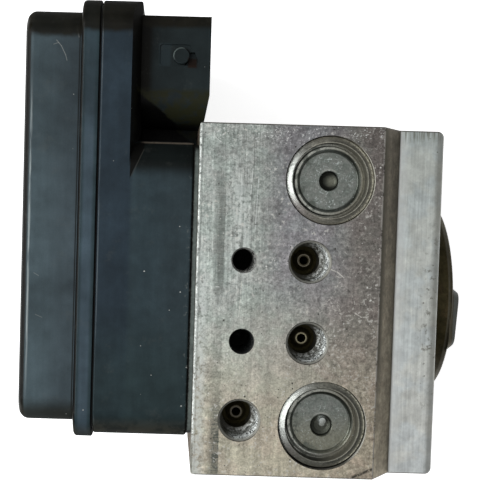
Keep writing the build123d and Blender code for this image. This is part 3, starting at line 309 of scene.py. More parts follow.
def block_material():
    g = Graph("block_aluminium")
    u, v, z = g.u, g.v, g.z
    up = g.smooth(g.nz, 0.6, 0.95)
    face = g.mul(g.smooth(z, 89.2, 89.8), up)
    ledge = g.mul(g.mul(g.smooth(u, 57.9, 58.5), g.smooth(z, 79.0, 80.5)), g.smooth(g.nz, 0.15, 0.6))
    riser = g.mul(g.mul(g.smooth(u, 51.93, 52.07), g.smooth(u, 58.5, 58.0)), g.smooth(z, 81.7, 82.2))
    chamf = g.mul(g.smooth(u, 1.2, 0.85), g.smooth(z, 88.5, 88.95))

    big = g.noise(0.055, 3, 0.6, seed=1.0)
    mid = g.noise(0.24, 4, 0.62, seed=2.0)
    fine = g.noise(0.95, 3, 0.62, seed=3.0)
    grit = g.noise(2.3, 2, 0.6, seed=4.0)
    streak = g.noise(1.0, 3, 0.6, vec=g.stretched(1.5, 0.05, 0.4, 1.0), seed=5.0)
    broad = g.noise(1.0, 3, 0.6, vec=g.stretched(0.40, 0.035, 0.4, 1.0), seed=6.5)
    hair = g.noise(1.0, 2, 0.6, vec=g.stretched(3.4, 0.10, 0.6, 2.0), seed=6.0)
    blot = g.noise(0.42, 5, 0.7, seed=7.0, distort=0.6)

    low = g.sat(g.math("MULTIPLY_ADD", v, -0.01, 1.0))          # 0 at the top end, 1 at the lower
    wander = g.mul(g.sub(big, 0.5), 30.0)
    across = g.smooth(g.add(u, wander), 2.0, 54.0)

    # port face: cool pale grey at the left, brown-grey to the right, warmer towards the lower end
    col = g.mix(across, (0.330, 0.358, 0.336), (0.158, 0.142, 0.130))
    col = g.mix(g.mul(g.smooth(u, 16.0, 26.0), g.mul(g.smooth(u, 46.0, 34.0), g.smooth(v, 40.0, 64.0))), col, (0.226, 0.224, 0.232))
    warm = g.smooth(g.add(v, g.mul(wander, 0.7)), 56.0, 8.0)
    col = g.mix(warm, col, g.mix(across, (0.372, 0.345, 0.275), (0.262, 0.226, 0.176)))
    tint = g.smooth(g.noise(0.13, 3, 0.6, seed=8.0), 0.42, 0.58)
    col = g.mix(1.0, col, g.mix(tint, (0.982, 1.006, 0.992), (1.022, 0.996, 0.998)), "MULTIPLY")
    # painted light: the face is made brighter towards the lower end, most on the right
    rise = g.add(0.92, g.mul(low, g.math("MULTIPLY_ADD", across, 0.42, 0.40)))

    left = g.mul(g.smooth(u, 24.0, 15.0), g.smooth(v, 36.0, 56.0))
    calm = g.mul(g.smooth(g.add(v, g.mul(wander, 0.5)), 54.0, 38.0), g.band(u, 9.0, 36.0, 4.0))
    tone = g.tones(
        rise,
        g.gain(big, 0.45),
        g.fmix(calm, g.gain(mid, 1.25), g.gain(mid, 0.75)),
        g.fmix(calm, g.gain(fine, 1.60), g.gain(fine, 0.80)),
        g.gain(grit, 1.15),
        g.fmix(calm, g.gain(blot, 1.50), g.gain(blot, 0.60)),
        g.fmix(calm, 1.0, g.gain(broad, 1.10, 1.07)),
        g.fmix(left, g.gain(streak, 0.30), g.gain(streak, 1.25, 1.06)),
        g.fmix(left, g.gain(hair, 0.12), g.gain(hair, 0.85)),
    )
    col_face = g.shade(col, tone)
    # rubbed bands: dark ones near the left edge, pale ones beside them
    rag = g.mul(g.sub(fine, 0.5), 5.0)
    at = g.add(u, g.mul(rag, 0.10))
    lane = g.mul(g.smooth(g.add(u, g.mul(rag, 0.35)), 3.8, 6.6), g.smooth(at, 7.95, 7.6))
    force = g.mx(g.mx(g.mul(g.band(v, 51.0, 85.0, 9.0), 0.80), g.smooth(g.add(v, rag), 34.0, 12.0)), 0.24)
    ticks = g.noise(1.0, 3, 0.7, vec=g.stretched(0.22, 2.6, 0.5, 4.0), seed=16.0)
    wear_and_glint = g.fmix(g.smooth(g.add(g.mul(ticks, 0.35), g.add(g.mul(blot, 0.35), g.mul(fine, 0.3))), 0.42, 0.56), 0.42, 1.0)
    col_face = g.mix(g.mul(g.mul(lane, force), wear_and_glint), col_face, (0.082, 0.090, 0.078))
    pale = g.mx(
        g.mul(g.smooth(g.add(u, g.mul(rag, 0.4)), 4.6, 1.6), g.mul(g.smooth(v, 74.0, 50.0), 0.75)),
        g.mul(near(g, g.add(u, g.mul(rag, 0.3)), 12.2, 4.6), g.mul(g.band(v, 58.0, 86.0, 7.0), g.smooth(streak, 0.36, 0.60))),
    )
    col_face = g.mix(g.mul(pale, g.smooth(g.add(g.mul(fine, 0.5), g.mul(blot, 0.5)), 0.40, 0.54)), col_face, (0.56, 0.59, 0.565))
    # dull film, whitish scuffs and pits
    film = g.mul(g.smooth(blot, 0.52, 0.64), g.smooth(v, 20.0, 60.0))
    col_face = g.mix(g.mul(film, 0.40), col_face, g.mix(across, (0.22, 0.25, 0.242), (0.105, 0.096, 0.090)))
    cluster = g.smooth(g.noise(0.14, 3, 0.6, seed=9.0), 0.46, 0.60)
    scuff = g.mul(g.smooth(fine, 0.575, 0.64), cluster)
    col_face = g.mix(g.mul(scuff, 0.70), col_face, (0.56, 0.55, 0.51))
    # thin whitish curls, thickest on the right below the middle
    worm = g.absv(g.sub(g.noise(0.55, 2, 0.5, seed=17.0, distort=1.2), 0.5))
    patch = g.mul(g.smooth(g.noise(0.22, 3, 0.6, seed=18.0), 0.50, 0.60), g.mx(g.mul(g.smooth(u, 22.0, 34.0), g.smooth(v, 66.0, 54.0)), 0.35))
    col_face = g.mix(g.mul(g.mul(g.smooth(worm, 0.020, 0.004), patch), g.smooth(fine, 0.42, 0.52)), col_face, (0.60, 0.58, 0.52))
    chips = g.mul(g.mul(g.smooth(grit, 0.60, 0.66), g.smooth(v, 92.0, 97.5)), g.smooth(mid, 0.46, 0.54))
    col_face = g.mix(chips, col_face, (0.66, 0.67, 0.65))
    specks = g.dots(0.80, 0.28, 0.30, seed=11.0)
    pits = g.dots(0.75, 0.26, 0.30, seed=12.0)
    col_face = g.mix(g.mul(specks, g.math("MULTIPLY_ADD", cluster, 0.85, 0.08)), col_face, (0.70, 0.70, 0.66))
    col_face = g.mix(g.mul(pits, g.math("MULTIPLY_ADD", g.smooth(mid, 0.52, 0.44), 0.85, 0.12)), col_face, (0.045, 0.042, 0.036))
    peppers = g.dots(1.5, 0.26, 0.16, seed=30.0)
    col_face = g.mix(g.mul(peppers, 0.9), col_face, (0.050, 0.047, 0.040))
    salts = g.dots(1.4, 0.25, 0.13, seed=36.0)
    col_face = g.mix(g.mul(salts, 0.8), col_face, (0.74, 0.74, 0.70))
    # black pits crowd round the line ports
    crowd = g.dots(1.25, 0.30, 0.42, seed=19.0)
    for hu, hv in PORT_SPOTS:
        col_face = g.mix(g.mul(crowd, g.smooth(g.ring(hu, hv), 9.6, 6.6)), col_face, (0.030, 0.028, 0.022))
    # single marks: scores near the ports, a gouge at the lower end
    for a, b, w, c in (
        ((37.9, 59.6), (39.8, 58.9), 0.13, (0.62, 0.60, 0.55)),
        ((39.8, 58.9), (41.7, 57.3), 0.12, (0.62, 0.60, 0.55)),
        ((39.4, 57.9), (41.0, 57.0), 0.09, (0.52, 0.50, 0.45)),
        ((45.2, 47.4), (47.0, 46.3), 0.12, (0.58, 0.56, 0.51)),
        ((47.0, 46.3), (49.0, 46.5), 0.11, (0.58, 0.56, 0.51)),
        ((44.2, 52.4), (45.0, 50.2), 0.10, (0.42, 0.40, 0.37)),
        ((45.0, 50.2), (44.6, 48.6), 0.09, (0.44, 0.42, 0.38)),
        ((15.0, 86.5), (14.5, 76.0), 0.12, (0.58, 0.61, 0.58)),
        ((16.8, 85.0), (16.2, 70.0), 0.10, (0.55, 0.58, 0.56)),
        ((12.9, 55.5), (12.4, 45.5), 0.11, (0.56, 0.57, 0.52)),
        ((1.6, 54.2), (7.4, 53.7), 0.09, (0.60, 0.62, 0.59)),
        ((3.6, 96.4), (5.6, 94.8), 0.08, (0.56, 0.59, 0.56)),
        ((46.2, 0.6), (51.4, 3.0), 0.42, (0.075, 0.066, 0.052)),
    ):
        wob = g.seg(a, b, w, 0.7)
        col_face = g.mix(g.mul(wob, g.smooth(fine, 0.36, 0.50)), col_face, c)

    # sloped riser, rough: its brown is painted shade, darker near the top edge and the foot; the pale broken line of
    # its top edge is a painted highlight
    riser_shade = g.shade(g.mix(low, (0.208, 0.185, 0.146), (0.445, 0.395, 0.305)), g.tones(g.gain(mid, 1.35), g.gain(streak, 0.35), g.gain(fine, 0.9), g.gain(blot, 1.1)))
    riser_shade = g.mix(g.mul(g.smooth(u, 54.2, 52.3), g.smooth(v, 8.0, 40.0)), riser_shade, (0.120, 0.108, 0.082))
    riser_shade = g.mix(g.mul(g.smooth(u, 57.0, 58.3), 0.7), riser_shade, (0.115, 0.102, 0.080))
    riser_edge_highlight = g.mul(g.mul(near(g, u, 51.85, 0.34), g.smooth(z, 88.4, 89.2)), g.smooth(g.add(g.mul(mid, 0.5), g.mul(fine, 0.5)), 0.42, 0.52))

    # ledge: machined strip, blotched, dirtier at both ends; painted shade along the rounded outer edge
    lt = g.tones(g.gain(mid, 0.80), g.gain(streak, 0.60), g.gain(hair, 0.28), g.gain(blot, 0.65), g.gain(big, 0.5))
    col_ledge = g.shade(g.mix(low, (0.500, 0.530, 0.505), (0.735, 0.745, 0.720)), lt)
    cold = g.smooth(g.noise(0.10, 3, 0.6, seed=20.0), 0.42, 0.58)
    col_ledge = g.mix(1.0, col_ledge, g.mix(cold, (0.972, 1.004, 1.030), (1.010, 1.006, 0.984)), "MULTIPLY")
    col_ledge = g.mix(g.mul(g.smooth(g.add(u, g.mul(g.sub(mid, 0.5), 3.0)), 61.6, 59.4), 0.35), col_ledge, (0.80, 0.82, 0.80))
    ends = g.mul(g.smooth(v, 95.0, 99.5), g.smooth(hair, 0.42, 0.60))
    col_ledge = g.mix(g.mul(ends, 0.75), col_ledge, (0.13, 0.128, 0.085))
    # painted shade on the rounded outer edge of the ledge
    rim = g.smooth(g.add(u, g.mul(rag, 0.12)), 67.9, 69.6)
    col_ledge = g.mix(g.mul(rim, 0.62), col_ledge, (0.160, 0.156, 0.134))
    stain = g.mul(g.smooth(g.noise(0.5, 4, 0.7, seed=13.0), 0.56, 0.66), g.mul(g.smooth(u, 63.0, 69.0), g.band(v, 22.0, 70.0, 12.0)))
    col_ledge = g.mix(g.mul(stain, 0.8), col_ledge, (0.16, 0.155, 0.125))
    nicks = g.dots(0.45, 0.20, 0.14, seed=14.0)
    col_ledge = g.mix(g.mul(nicks, 0.7), col_ledge, (0.10, 0.095, 0.08))
    foot_line = g.mul(near(g, u, 58.35, 0.45), g.mul(g.band(z, 80.0, 83.5, 0.5), g.smooth(g.nz, 0.2, 0.5)))

    # sides: saw marks; faces turned to the left are brown, matte and not metallic
    saw = g.noise(1.0, 3, 0.6, vec=g.stretched(0.06, 0.06, 1.4, 3.0), seed=15.0)
    col_side = g.shade((0.21, 0.195, 0.170), g.tones(g.gain(mid, 0.9), g.gain(saw, 0.8), g.gain(fine, 0.7), g.gain(blot, 0.6)))
    left_facing = g.smooth(g.nx, -0.5, -0.9)
    col_side = g.mix(g.mul(left_facing, 0.85), col_side, g.mix(g.smooth(z, 79.0, 82.0), g.mix(g.smooth(mid, 0.4, 0.6), (0.072, 0.047, 0.026), (0.120, 0.084, 0.048)), (0.130, 0.130, 0.108)))
    col_side = g.mix(g.mul(specks, 0.5), col_side, (0.5, 0.5, 0.48))
    col_side = g.mix(g.mul(pits, 0.6), col_side, (0.05, 0.045, 0.04))

    col = g.mix(face, col_side, col_face)
    col = g.mix(riser, col, riser_shade)
    col = g.mix(riser_edge_highlight, col, (0.46, 0.44, 0.40))
    col = g.mix(ledge, col, col_ledge)
    col = g.mix(foot_line, col, (0.66, 0.67, 0.65))
    # thin dark outline of painted shade where the end faces are broken
    end_face_shade = g.mul(g.smooth(g.absv(g.ny), 0.35, 0.8), g.smooth(z, 80.0, 81.5))
    col = g.mix(end_face_shade, col, (0.055, 0.048, 0.038))
    # bright chamfer along the left edge: a painted highlight, noisy and broken
    chamfer_glint = g.tones(g.gain(fine, 2.2), g.gain(streak, 0.9), g.gain(grit, 1.8))
    thin = g.mul(g.smooth(g.add(u, g.mul(rag, 0.13)), 0.66, 0.36), g.smooth(g.add(g.mul(mid, 0.4), g.mul(fine, 0.6)), 0.40, 0.50))
    chamf = g.mul(chamf, g.smooth(g.nz, 0.2, 0.4))
    col = g.mix(chamf, col, g.mix(thin, g.shade(col_face, 0.62), g.shade(g.mix(g.smooth(v, 12.0, 8.0), (0.55, 0.57, 0.545), (0.16, 0.158, 0.135)), chamfer_glint)))

    # bores: bright countersunk mouths; below them painted light with mottled painted glints on the lit side of the
    # threads near the top, painted shade on the far side and further down
    thread_glints = g.smooth(g.add(g.mul(fine, 0.5), g.mul(g.noise(1.1, 3, 0.65, seed=28.0, distort=1.0), 0.5)), 0.46, 0.54)
    dull_and_shaded = 0.0
    for i, (hu, hv) in enumerate(PORT_SPOTS):
        r = g.ring(hu, hv)
        inside = g.mul(g.smooth(r, 6.3, 6.05), g.smooth(z, 89.9, 89.7))
        dull_and_shaded = g.mx(dull_and_shaded, inside)
        lit = g.smooth(g.math("MULTIPLY_ADD", g.sub(u, hu), 0.80, g.mul(g.sub(v, hv), -0.55 if i else -0.05)), -0.8, 2.6)
        wall = g.mix(lit, (0.070, 0.067, 0.052), g.mix(thread_glints, (0.050, 0.050, 0.040), (0.74, 0.76, 0.73)))
        wall = g.mix(g.smooth(z, 80.6, 79.6), wall, (0.035, 0.032, 0.018))
        mouth = g.mul(g.smooth(z, 89.0, 89.4), g.gain(fine, 0.8))
        wall = g.mix(mouth, wall, (0.27, 0.265, 0.235))
        col = g.mix(inside, col, wall)
    # bracket tap holes: painted shade growing darker with depth, the lower hole darker throughout
    for hu, hv in TAP_SPOTS:
        r = g.ring(hu, hv)
        inside = g.mul(g.smooth(r, 3.75, 3.6), g.smooth(z, 89.95, 89.8))
        dull_and_shaded = g.mx(dull_and_shaded, inside)
        wall = g.mix(g.smooth(z, 90.0, 76.0), (0.25, 0.25, 0.24) if hv > 50 else (0.02, 0.022, 0.022), (0.004, 0.005, 0.004))
        col = g.mix(inside, col, wall)
    # cap counterbores: pale wall near the face, painted shade further down
    for hv in (84.6, 15.0):
        r = g.ring(37.0, hv)
        inside = g.mul(g.smooth(r, 12.8, 12.66), g.smooth(z, 89.9, 89.7))
        col = g.mix(inside, col, g.mix(g.smooth(z, 88.6, 87.6), (0.52, 0.50, 0.44), (0.02, 0.018, 0.014)))
    metal = g.fmix(left_facing, g.fmix(dull_and_shaded, 0.85, 0.25), 0.0)

    rough = g.gain(mid, 0.22, 0.44)
    rough = g.fmix(ledge, rough, 0.38)
    rough = g.fmix(riser, rough, 0.62)
    rough = g.fmix(left_facing, rough, 0.95)
    h = g.add(g.mul(mid, 0.6), g.mul(fine, 0.55))
    h = g.add(h, g.mul(streak, 0.35))
    h = g.mul(h, g.fmix(ledge, 1.0, 0.4))
    normal = g.bump(h, distance=0.00012, strength=0.8)
    return g.finish(col, rough, metallic=metal, normal=normal)


def cap_place(g):
    """Which cap: 1 for the lower one; and the distance from a centre given for each."""
    lower = g.smooth(g.v, 51.0, 49.0)

    def away(upper_at, lower_at):
        a = g.sub(g.u, g.fmix(lower, upper_at[0], lower_at[0]))
        b = g.sub(g.v, g.fmix(lower, upper_at[1], lower_at[1]))
        return g.math("SQRT", g.math("MULTIPLY_ADD", a, a, g.mul(b, b))), a, b

    return lower, away


def cap_material():
    g = Graph("zinc_cap")
    lower, away = cap_place(g)
    r, a, b = away((37.0, 84.6), (37.15, 15.3))
    rd, da, db = away((37.2, 84.65), (37.4, 14.4))
    rp, _, _ = away((37.9, 84.6), (37.65, 15.6))
    mid = g.noise(0.50, 4, 0.65, seed=21.0)
    fine = g.noise(1.7, 3, 0.6, seed=22.0)
    blot = g.noise(0.8, 4, 0.7, seed=23.0, distort=0.8)
    # greenish grey floor, mottled
    col = g.mix(g.smooth(mid, 0.36, 0.64), (0.150, 0.168, 0.150), (0.205, 0.215, 0.198))
    col = g.mix(g.mul(lower, g.smooth(b, 5.0, -6.0)), col, (0.215, 0.215, 0.170))
    col = g.shade(col, g.tones(g.gain(fine, 0.9), g.gain(blot, 0.8)))
    col = g.mix(g.mul(g.smooth(blot, 0.60, 0.68), 0.8), col, (0.33, 0.36, 0.35))
    # rim: pale, with painted light to the left and painted shade, bronze-grey, to the right
    rim = g.smooth(r, 8.75, 9.0)
    side = g.smooth(g.add(a, g.mul(b, -0.1)), -7.0, 7.0)
    rim_col = g.shade(g.mix(side, (0.46, 0.47, 0.42), (0.200, 0.194, 0.162)), g.tones(g.gain(fine, 1.1), g.gain(mid, 0.5)))
    col = g.mix(rim, col, rim_col)
    # inner slope: catches the light on the left
    slope = g.mul(g.band(r, 8.4, 9.0, 0.12), g.smooth(side, 0.7, 0.2))
    col = g.mix(g.mul(slope, 0.55), col, (0.36, 0.39, 0.36))
    # dark groove in the corner of the floor, heaviest on the right
    turn = g.fmix(lower, g.math("MULTIPLY_ADD", b, 0.10, a), g.math("MULTIPLY_ADD", b, 0.75, g.mul(a, 0.70)))
    heavy = g.smooth(turn, -1.0, 7.0)
    groove = g.mx(g.mul(g.band(r, 8.35, 9.12, 0.14), heavy), g.mul(near(g, r, 8.25, 0.30), 0.8))
    col = g.mix(groove, col, (0.035, 0.038, 0.030))
    # thin outline of the rim: painted shade in the gap on the left
    col = g.mix(g.mul(near(g, r, 9.95, 0.28), g.smooth(a, 5.0, -2.0)), col, (0.04, 0.04, 0.032))
    # white crusts and specks
    crust = g.mul(g.smooth(g.noise(1.15, 4, 0.7, seed=24.0, distort=1.4), 0.575, 0.625), g.mul(g.smooth(r, 8.4, 7.2), g.smooth(g.noise(0.3, 3, 0.6, seed=27.0), 0.44, 0.56)))
    specks = g.dots(1.3, 0.26, 0.28, seed=25.0)
    pits = g.dots(1.1, 0.24, 0.26, seed=26.0)
    col = g.mix(g.mul(specks, 0.75), col, (0.58, 0.62, 0.60))
    col = g.mix(g.mul(crust, g.fmix(lower, 0.80, 0.40)), col, (0.56, 0.61, 0.59))
    stain = g.mul(g.smooth(r, 5.4, 7.4), g.smooth(g.noise(0.35, 4, 0.65, seed=29.0), 0.50, 0.58))
    col = g.mix(g.mul(stain, g.mul(g.smooth(a, 2.0, -4.0), 0.7)), col, (0.070, 0.082, 0.068))
    col = g.mix(g.mul(pits, 0.7), col, (0.035, 0.038, 0.032))
    # dimple: painted shade, lighter on its right; the lower one keeps a pip
    pit = g.smooth(g.sub(rd, g.fmix(lower, 2.75, 3.1)), 0.25, -0.25)
    dark = g.mix(g.smooth(rp, 2.2, 0.3), g.mix(lower, (0.018, 0.020, 0.015), (0.050, 0.053, 0.042)), g.mix(lower, (0.125, 0.128, 0.100), (0.120, 0.122, 0.105)))
    col = g.mix(pit, col, g.shade(dark, g.gain(fine, 0.9)))
    # painted highlight on the upper edge of the dimple
    col = g.mix(g.mul(near(g, g.sub(rd, g.fmix(lower, 3.25, 3.6)), 0.0, 0.4), g.mul(g.smooth(db, 0.5, 2.6), g.smooth(g.absv(da), 2.8, 1.2))), col, (0.32, 0.33, 0.30))
    # painted highlight on the top of the pip, grey below
    pip = g.mul(lower, g.mul(g.smooth(rp, 1.60, 1.25), g.smooth(g.z, 84.80, 85.05)))
    col = g.mix(pip, col, g.shade(g.mix(g.smooth(g.sub(b, a), -1.2, 1.4), (0.24, 0.25, 0.23), (0.52, 0.55, 0.53)), g.gain(fine, 1.6)))
    rough = g.gain(mid, 0.25, 0.42)
    normal = g.bump(g.add(g.mul(mid, 0.8), g.mul(fine, 0.6)), distance=0.00011, strength=0.8)
    return g.finish(col, rough, metallic=0.8, normal=normal)


def ring_material():
    g = Graph("ring_alloy")
    lower, away = cap_place(g)
    r, a, b = away((37.0, 84.6), (37.0, 15.25))
    mid = g.noise(0.45, 4, 0.65, seed=31.0)
    fine = g.noise(1.8, 3, 0.6, seed=32.0)
    blot = g.noise(0.9, 4, 0.7, seed=33.0, distort=0.5)
    # painted light on the left of the ring, painted shade on the right
    side = g.smooth(g.math("MULTIPLY_ADD", b, g.fmix(lower, 0.10, -0.25), a), -11.0, -2.0)
    light = g.mix(g.smooth(b, -3.0, -9.0), (0.370, 0.382, 0.360), (0.225, 0.206, 0.196))
    dull_and_shaded = g.mix(lower, (0.335, 0.322, 0.270), (0.245, 0.243, 0.205))
    col = g.mix(side, light, dull_and_shaded)
    col = g.shade(col, g.tones(g.gain(mid, 0.8), g.gain(fine, 1.4), g.gain(blot, 1.1)))
    # painted shade on the inner edge to the right and on the inner wall to the left, painted light on the inner wall
    # to the right, and a broken painted highlight on the outer edge to the right
    col = g.mix(g.mul(near(g, r, 10.95, 0.55), g.smooth(a, -2.0, 4.0)), col, g.shade(col, 0.62))
    col = g.mix(g.smooth(r, 10.62, 10.48), col, g.mix(g.smooth(a, -2.0, 4.0), (0.05, 0.05, 0.04), (0.27, 0.26, 0.215)))
    wear_and_glint = g.mul(near(g, r, 11.95, 0.30), g.mul(g.smooth(a, 2.0, 7.0), g.smooth(fine, 0.38, 0.54)))
    col = g.mix(wear_and_glint, col, (0.78, 0.77, 0.68))
    specks = g.dots(0.9, 0.22, 0.3, seed=34.0)
    pits = g.dots(1.1, 0.30, 0.46, seed=35.0)
    col = g.mix(g.mul(specks, 0.6), col, (0.75, 0.75, 0.70))
    col = g.mix(g.mul(pits, 0.6), col, (0.06, 0.055, 0.045))
    rough = g.gain(mid, 0.2, 0.38)
    normal = g.bump(g.add(mid, g.mul(fine, 0.5)), distance=0.00009, strength=0.7)
    return g.finish(col, rough, metallic=0.85, normal=normal)


# ------------------------------------------------------------------ plastics
def plastic_parts(name, base, seed):
    """Shared moulded-plastic look, first part: the noises and the mottled tone; plastic_finish adds the dust, the
    specks and the painted shade on turned-away edges.
    """
    g = Graph(name)
    big = g.noise(0.045, 3, 0.6, seed=seed)
    mid = g.noise(0.22, 4, 0.62, seed=seed + 1)
    grain = g.noise(2.6, 2, 0.5, seed=seed + 2)
    drag = g.noise(1.0, 3, 0.6, vec=g.stretched(0.7, 0.045, 0.3, seed), seed=seed + 3)
    tone = g.tones(g.gain(big, 1.6), g.gain(mid, 0.7), g.gain(drag, 0.30), g.gain(grain, 0.20))
    return g, base, tone, mid, grain, drag


def plastic_finish(g, col, mid, grain, seed, rough0, top, foot):
    # painted shade: surfaces that turn away from the front are almost black, at the top, at the foot and along the
    # coil box's upper corner; top and foot say where, in mm
    reach = g.add(g.v, g.mul(g.sub(mid, 0.5), 2.4))
    upper = g.smooth(g.sub(reach, top), -0.9, 0.9)
    lower = g.smooth(g.sub(g.add(g.v, g.mul(g.sub(mid, 0.5), 1.0)), foot), 3.5, -2.5)
    turn = g.mx(upper, g.mul(g.smooth(g.ny, 0.16, 0.40), g.smooth(g.v, 95.2, 96.5)))
    smear = g.mul(g.smooth(mid, 0.36, 0.56), g.mul(g.smooth(g.sub(g.v, foot), 3.5, 0.5), g.smooth(g.z, 70.0, 84.0)))
    smear = g.mul(g.mul(smear, g.smooth(g.v, 8.6, 10.6)), g.fmix(g.smooth(g.u, -35.0, -34.0), 0.15, 0.75))
    dark = g.mix(g.smooth(mid, 0.35, 0.65), (0.0050, 0.0042, 0.0022), (0.0085, 0.0072, 0.0040))
    col = g.mix(g.mul(lower, 0.85), col, g.mix(smear, (0.0150, 0.0155, 0.0125), (0.037, 0.034, 0.024)))
    col = g.mix(g.mul(turn, 0.94), col, dark)
    # painted shade: faces turned to the right are almost black
    col = g.mix(g.mul(g.smooth(g.nx, 0.30, 0.70), 0.9), col, (0.0045, 0.0042, 0.0030))
    dust = g.smooth(g.noise(0.16, 5, 0.72, seed=seed + 4), 0.56, 0.74)
    col = g.mix(g.mul(dust, 0.16), col, (0.085, 0.088, 0.080))
    specks = g.dots(0.20, 0.055, 0.42, seed=seed + 5, soft=0.3)
    col = g.mix(g.mul(specks, 0.8), col, (0.30, 0.31, 0.30))
    rough = g.add(g.gain(mid, 0.2, rough0), g.mul(dust, 0.12))
    rough = g.fmix(g.smooth(g.nx, -0.04, -0.20), rough, 0.30)
    rough = g.fmix(g.smooth(g.mx(g.nx, g.absv(g.ny)), 0.25, 0.6), rough, 0.85)
    normal = g.bump(g.add(g.mul(grain, 0.5), mid), distance=0.00005, strength=0.5)
    return col, rough, normal


def cover_material():
    g, base, tone, mid, grain, drag = plastic_parts("cover_plastic", None, 41.0)
    u, v = g.u, g.v
    body = g.mix(g.smooth(g.add(u, g.mul(g.sub(mid, 0.5), 8.0)), -47.0, -36.0), (0.050, 0.071, 0.081), (0.041, 0.056, 0.065))
    body = g.shade(body, g.math("MULTIPLY_ADD", g.smooth(v, 120.0, 60.0), 0.24, 0.80))
    rim = g.smooth(u, -34.6, -34.2)
    stripe = g.mul(g.band(u, -33.0, -30.2, 0.5), g.fmix(g.smooth(v, 90.0, 118.0), 1.0, 0.35))
    edge = g.mix(stripe, (0.024, 0.040, 0.047), (0.046, 0.068, 0.086))
    col = g.mix(rim, body, edge)
    col = g.shade(col, tone)
    # painted shade in the crease in front of the rim, along the seam
    col = g.mix(g.mul(near(g, u, -34.9, 0.35), g.smooth(g.nz, 0.3, 0.8)), col, (0.008, 0.009, 0.009))
    # left flank turned away: painted shade, almost black, with a thin broken painted highlight along the front edge
    col = g.mix(g.smooth(g.nx, -0.22, -0.45), col, (0.003, 0.003, 0.0025))
    broken = g.mul(g.smooth(drag, 0.36, 0.52), g.band(v, 30.0, 104.0, 12.0))
    flank_highlight = g.mul(near(g, g.nx, -0.16, 0.11), g.mul(g.smooth(u, -46.5, -47.5), g.smooth(g.nz, 0.6, 0.8)))
    col = g.mix(g.mul(g.mul(flank_highlight, broken), 0.75), col, (0.36, 0.40, 0.40))
    # a hooked scratch near the top, short scuffs along the front edge
    for a, b, w, k in (
        ((-41.6, 122.6), (-40.2, 121.0), 0.09, 0.6),
        ((-40.2, 121.0), (-38.9, 118.4), 0.10, 0.6),
        ((-38.9, 118.4), (-38.5, 116.9), 0.09, 0.5),
        ((-42.4, 121.4), (-41.0, 121.9), 0.10, 0.4),
        ((-46.6, 56.0), (-45.2, 55.2), 0.10, 0.35),
        ((-45.9, 44.0), (-44.0, 43.2), 0.10, 0.30),
        ((-35.8, 125.9), (-35.2, 123.6), 0.12, 0.45),
    ):
        col = g.mix(g.mul(g.seg(a, b, w, 0.8), k), col, (0.24, 0.25, 0.24))
    top = g.fmix(rim, 124.0, 125.5)
    foot = g.fmix(rim, 17.6, 10.5)
    col, rough, normal = plastic_finish(g, col, mid, grain, 41.0, 0.44, top, foot)
    return g.finish(col, rough, normal=normal, specular=0.07)


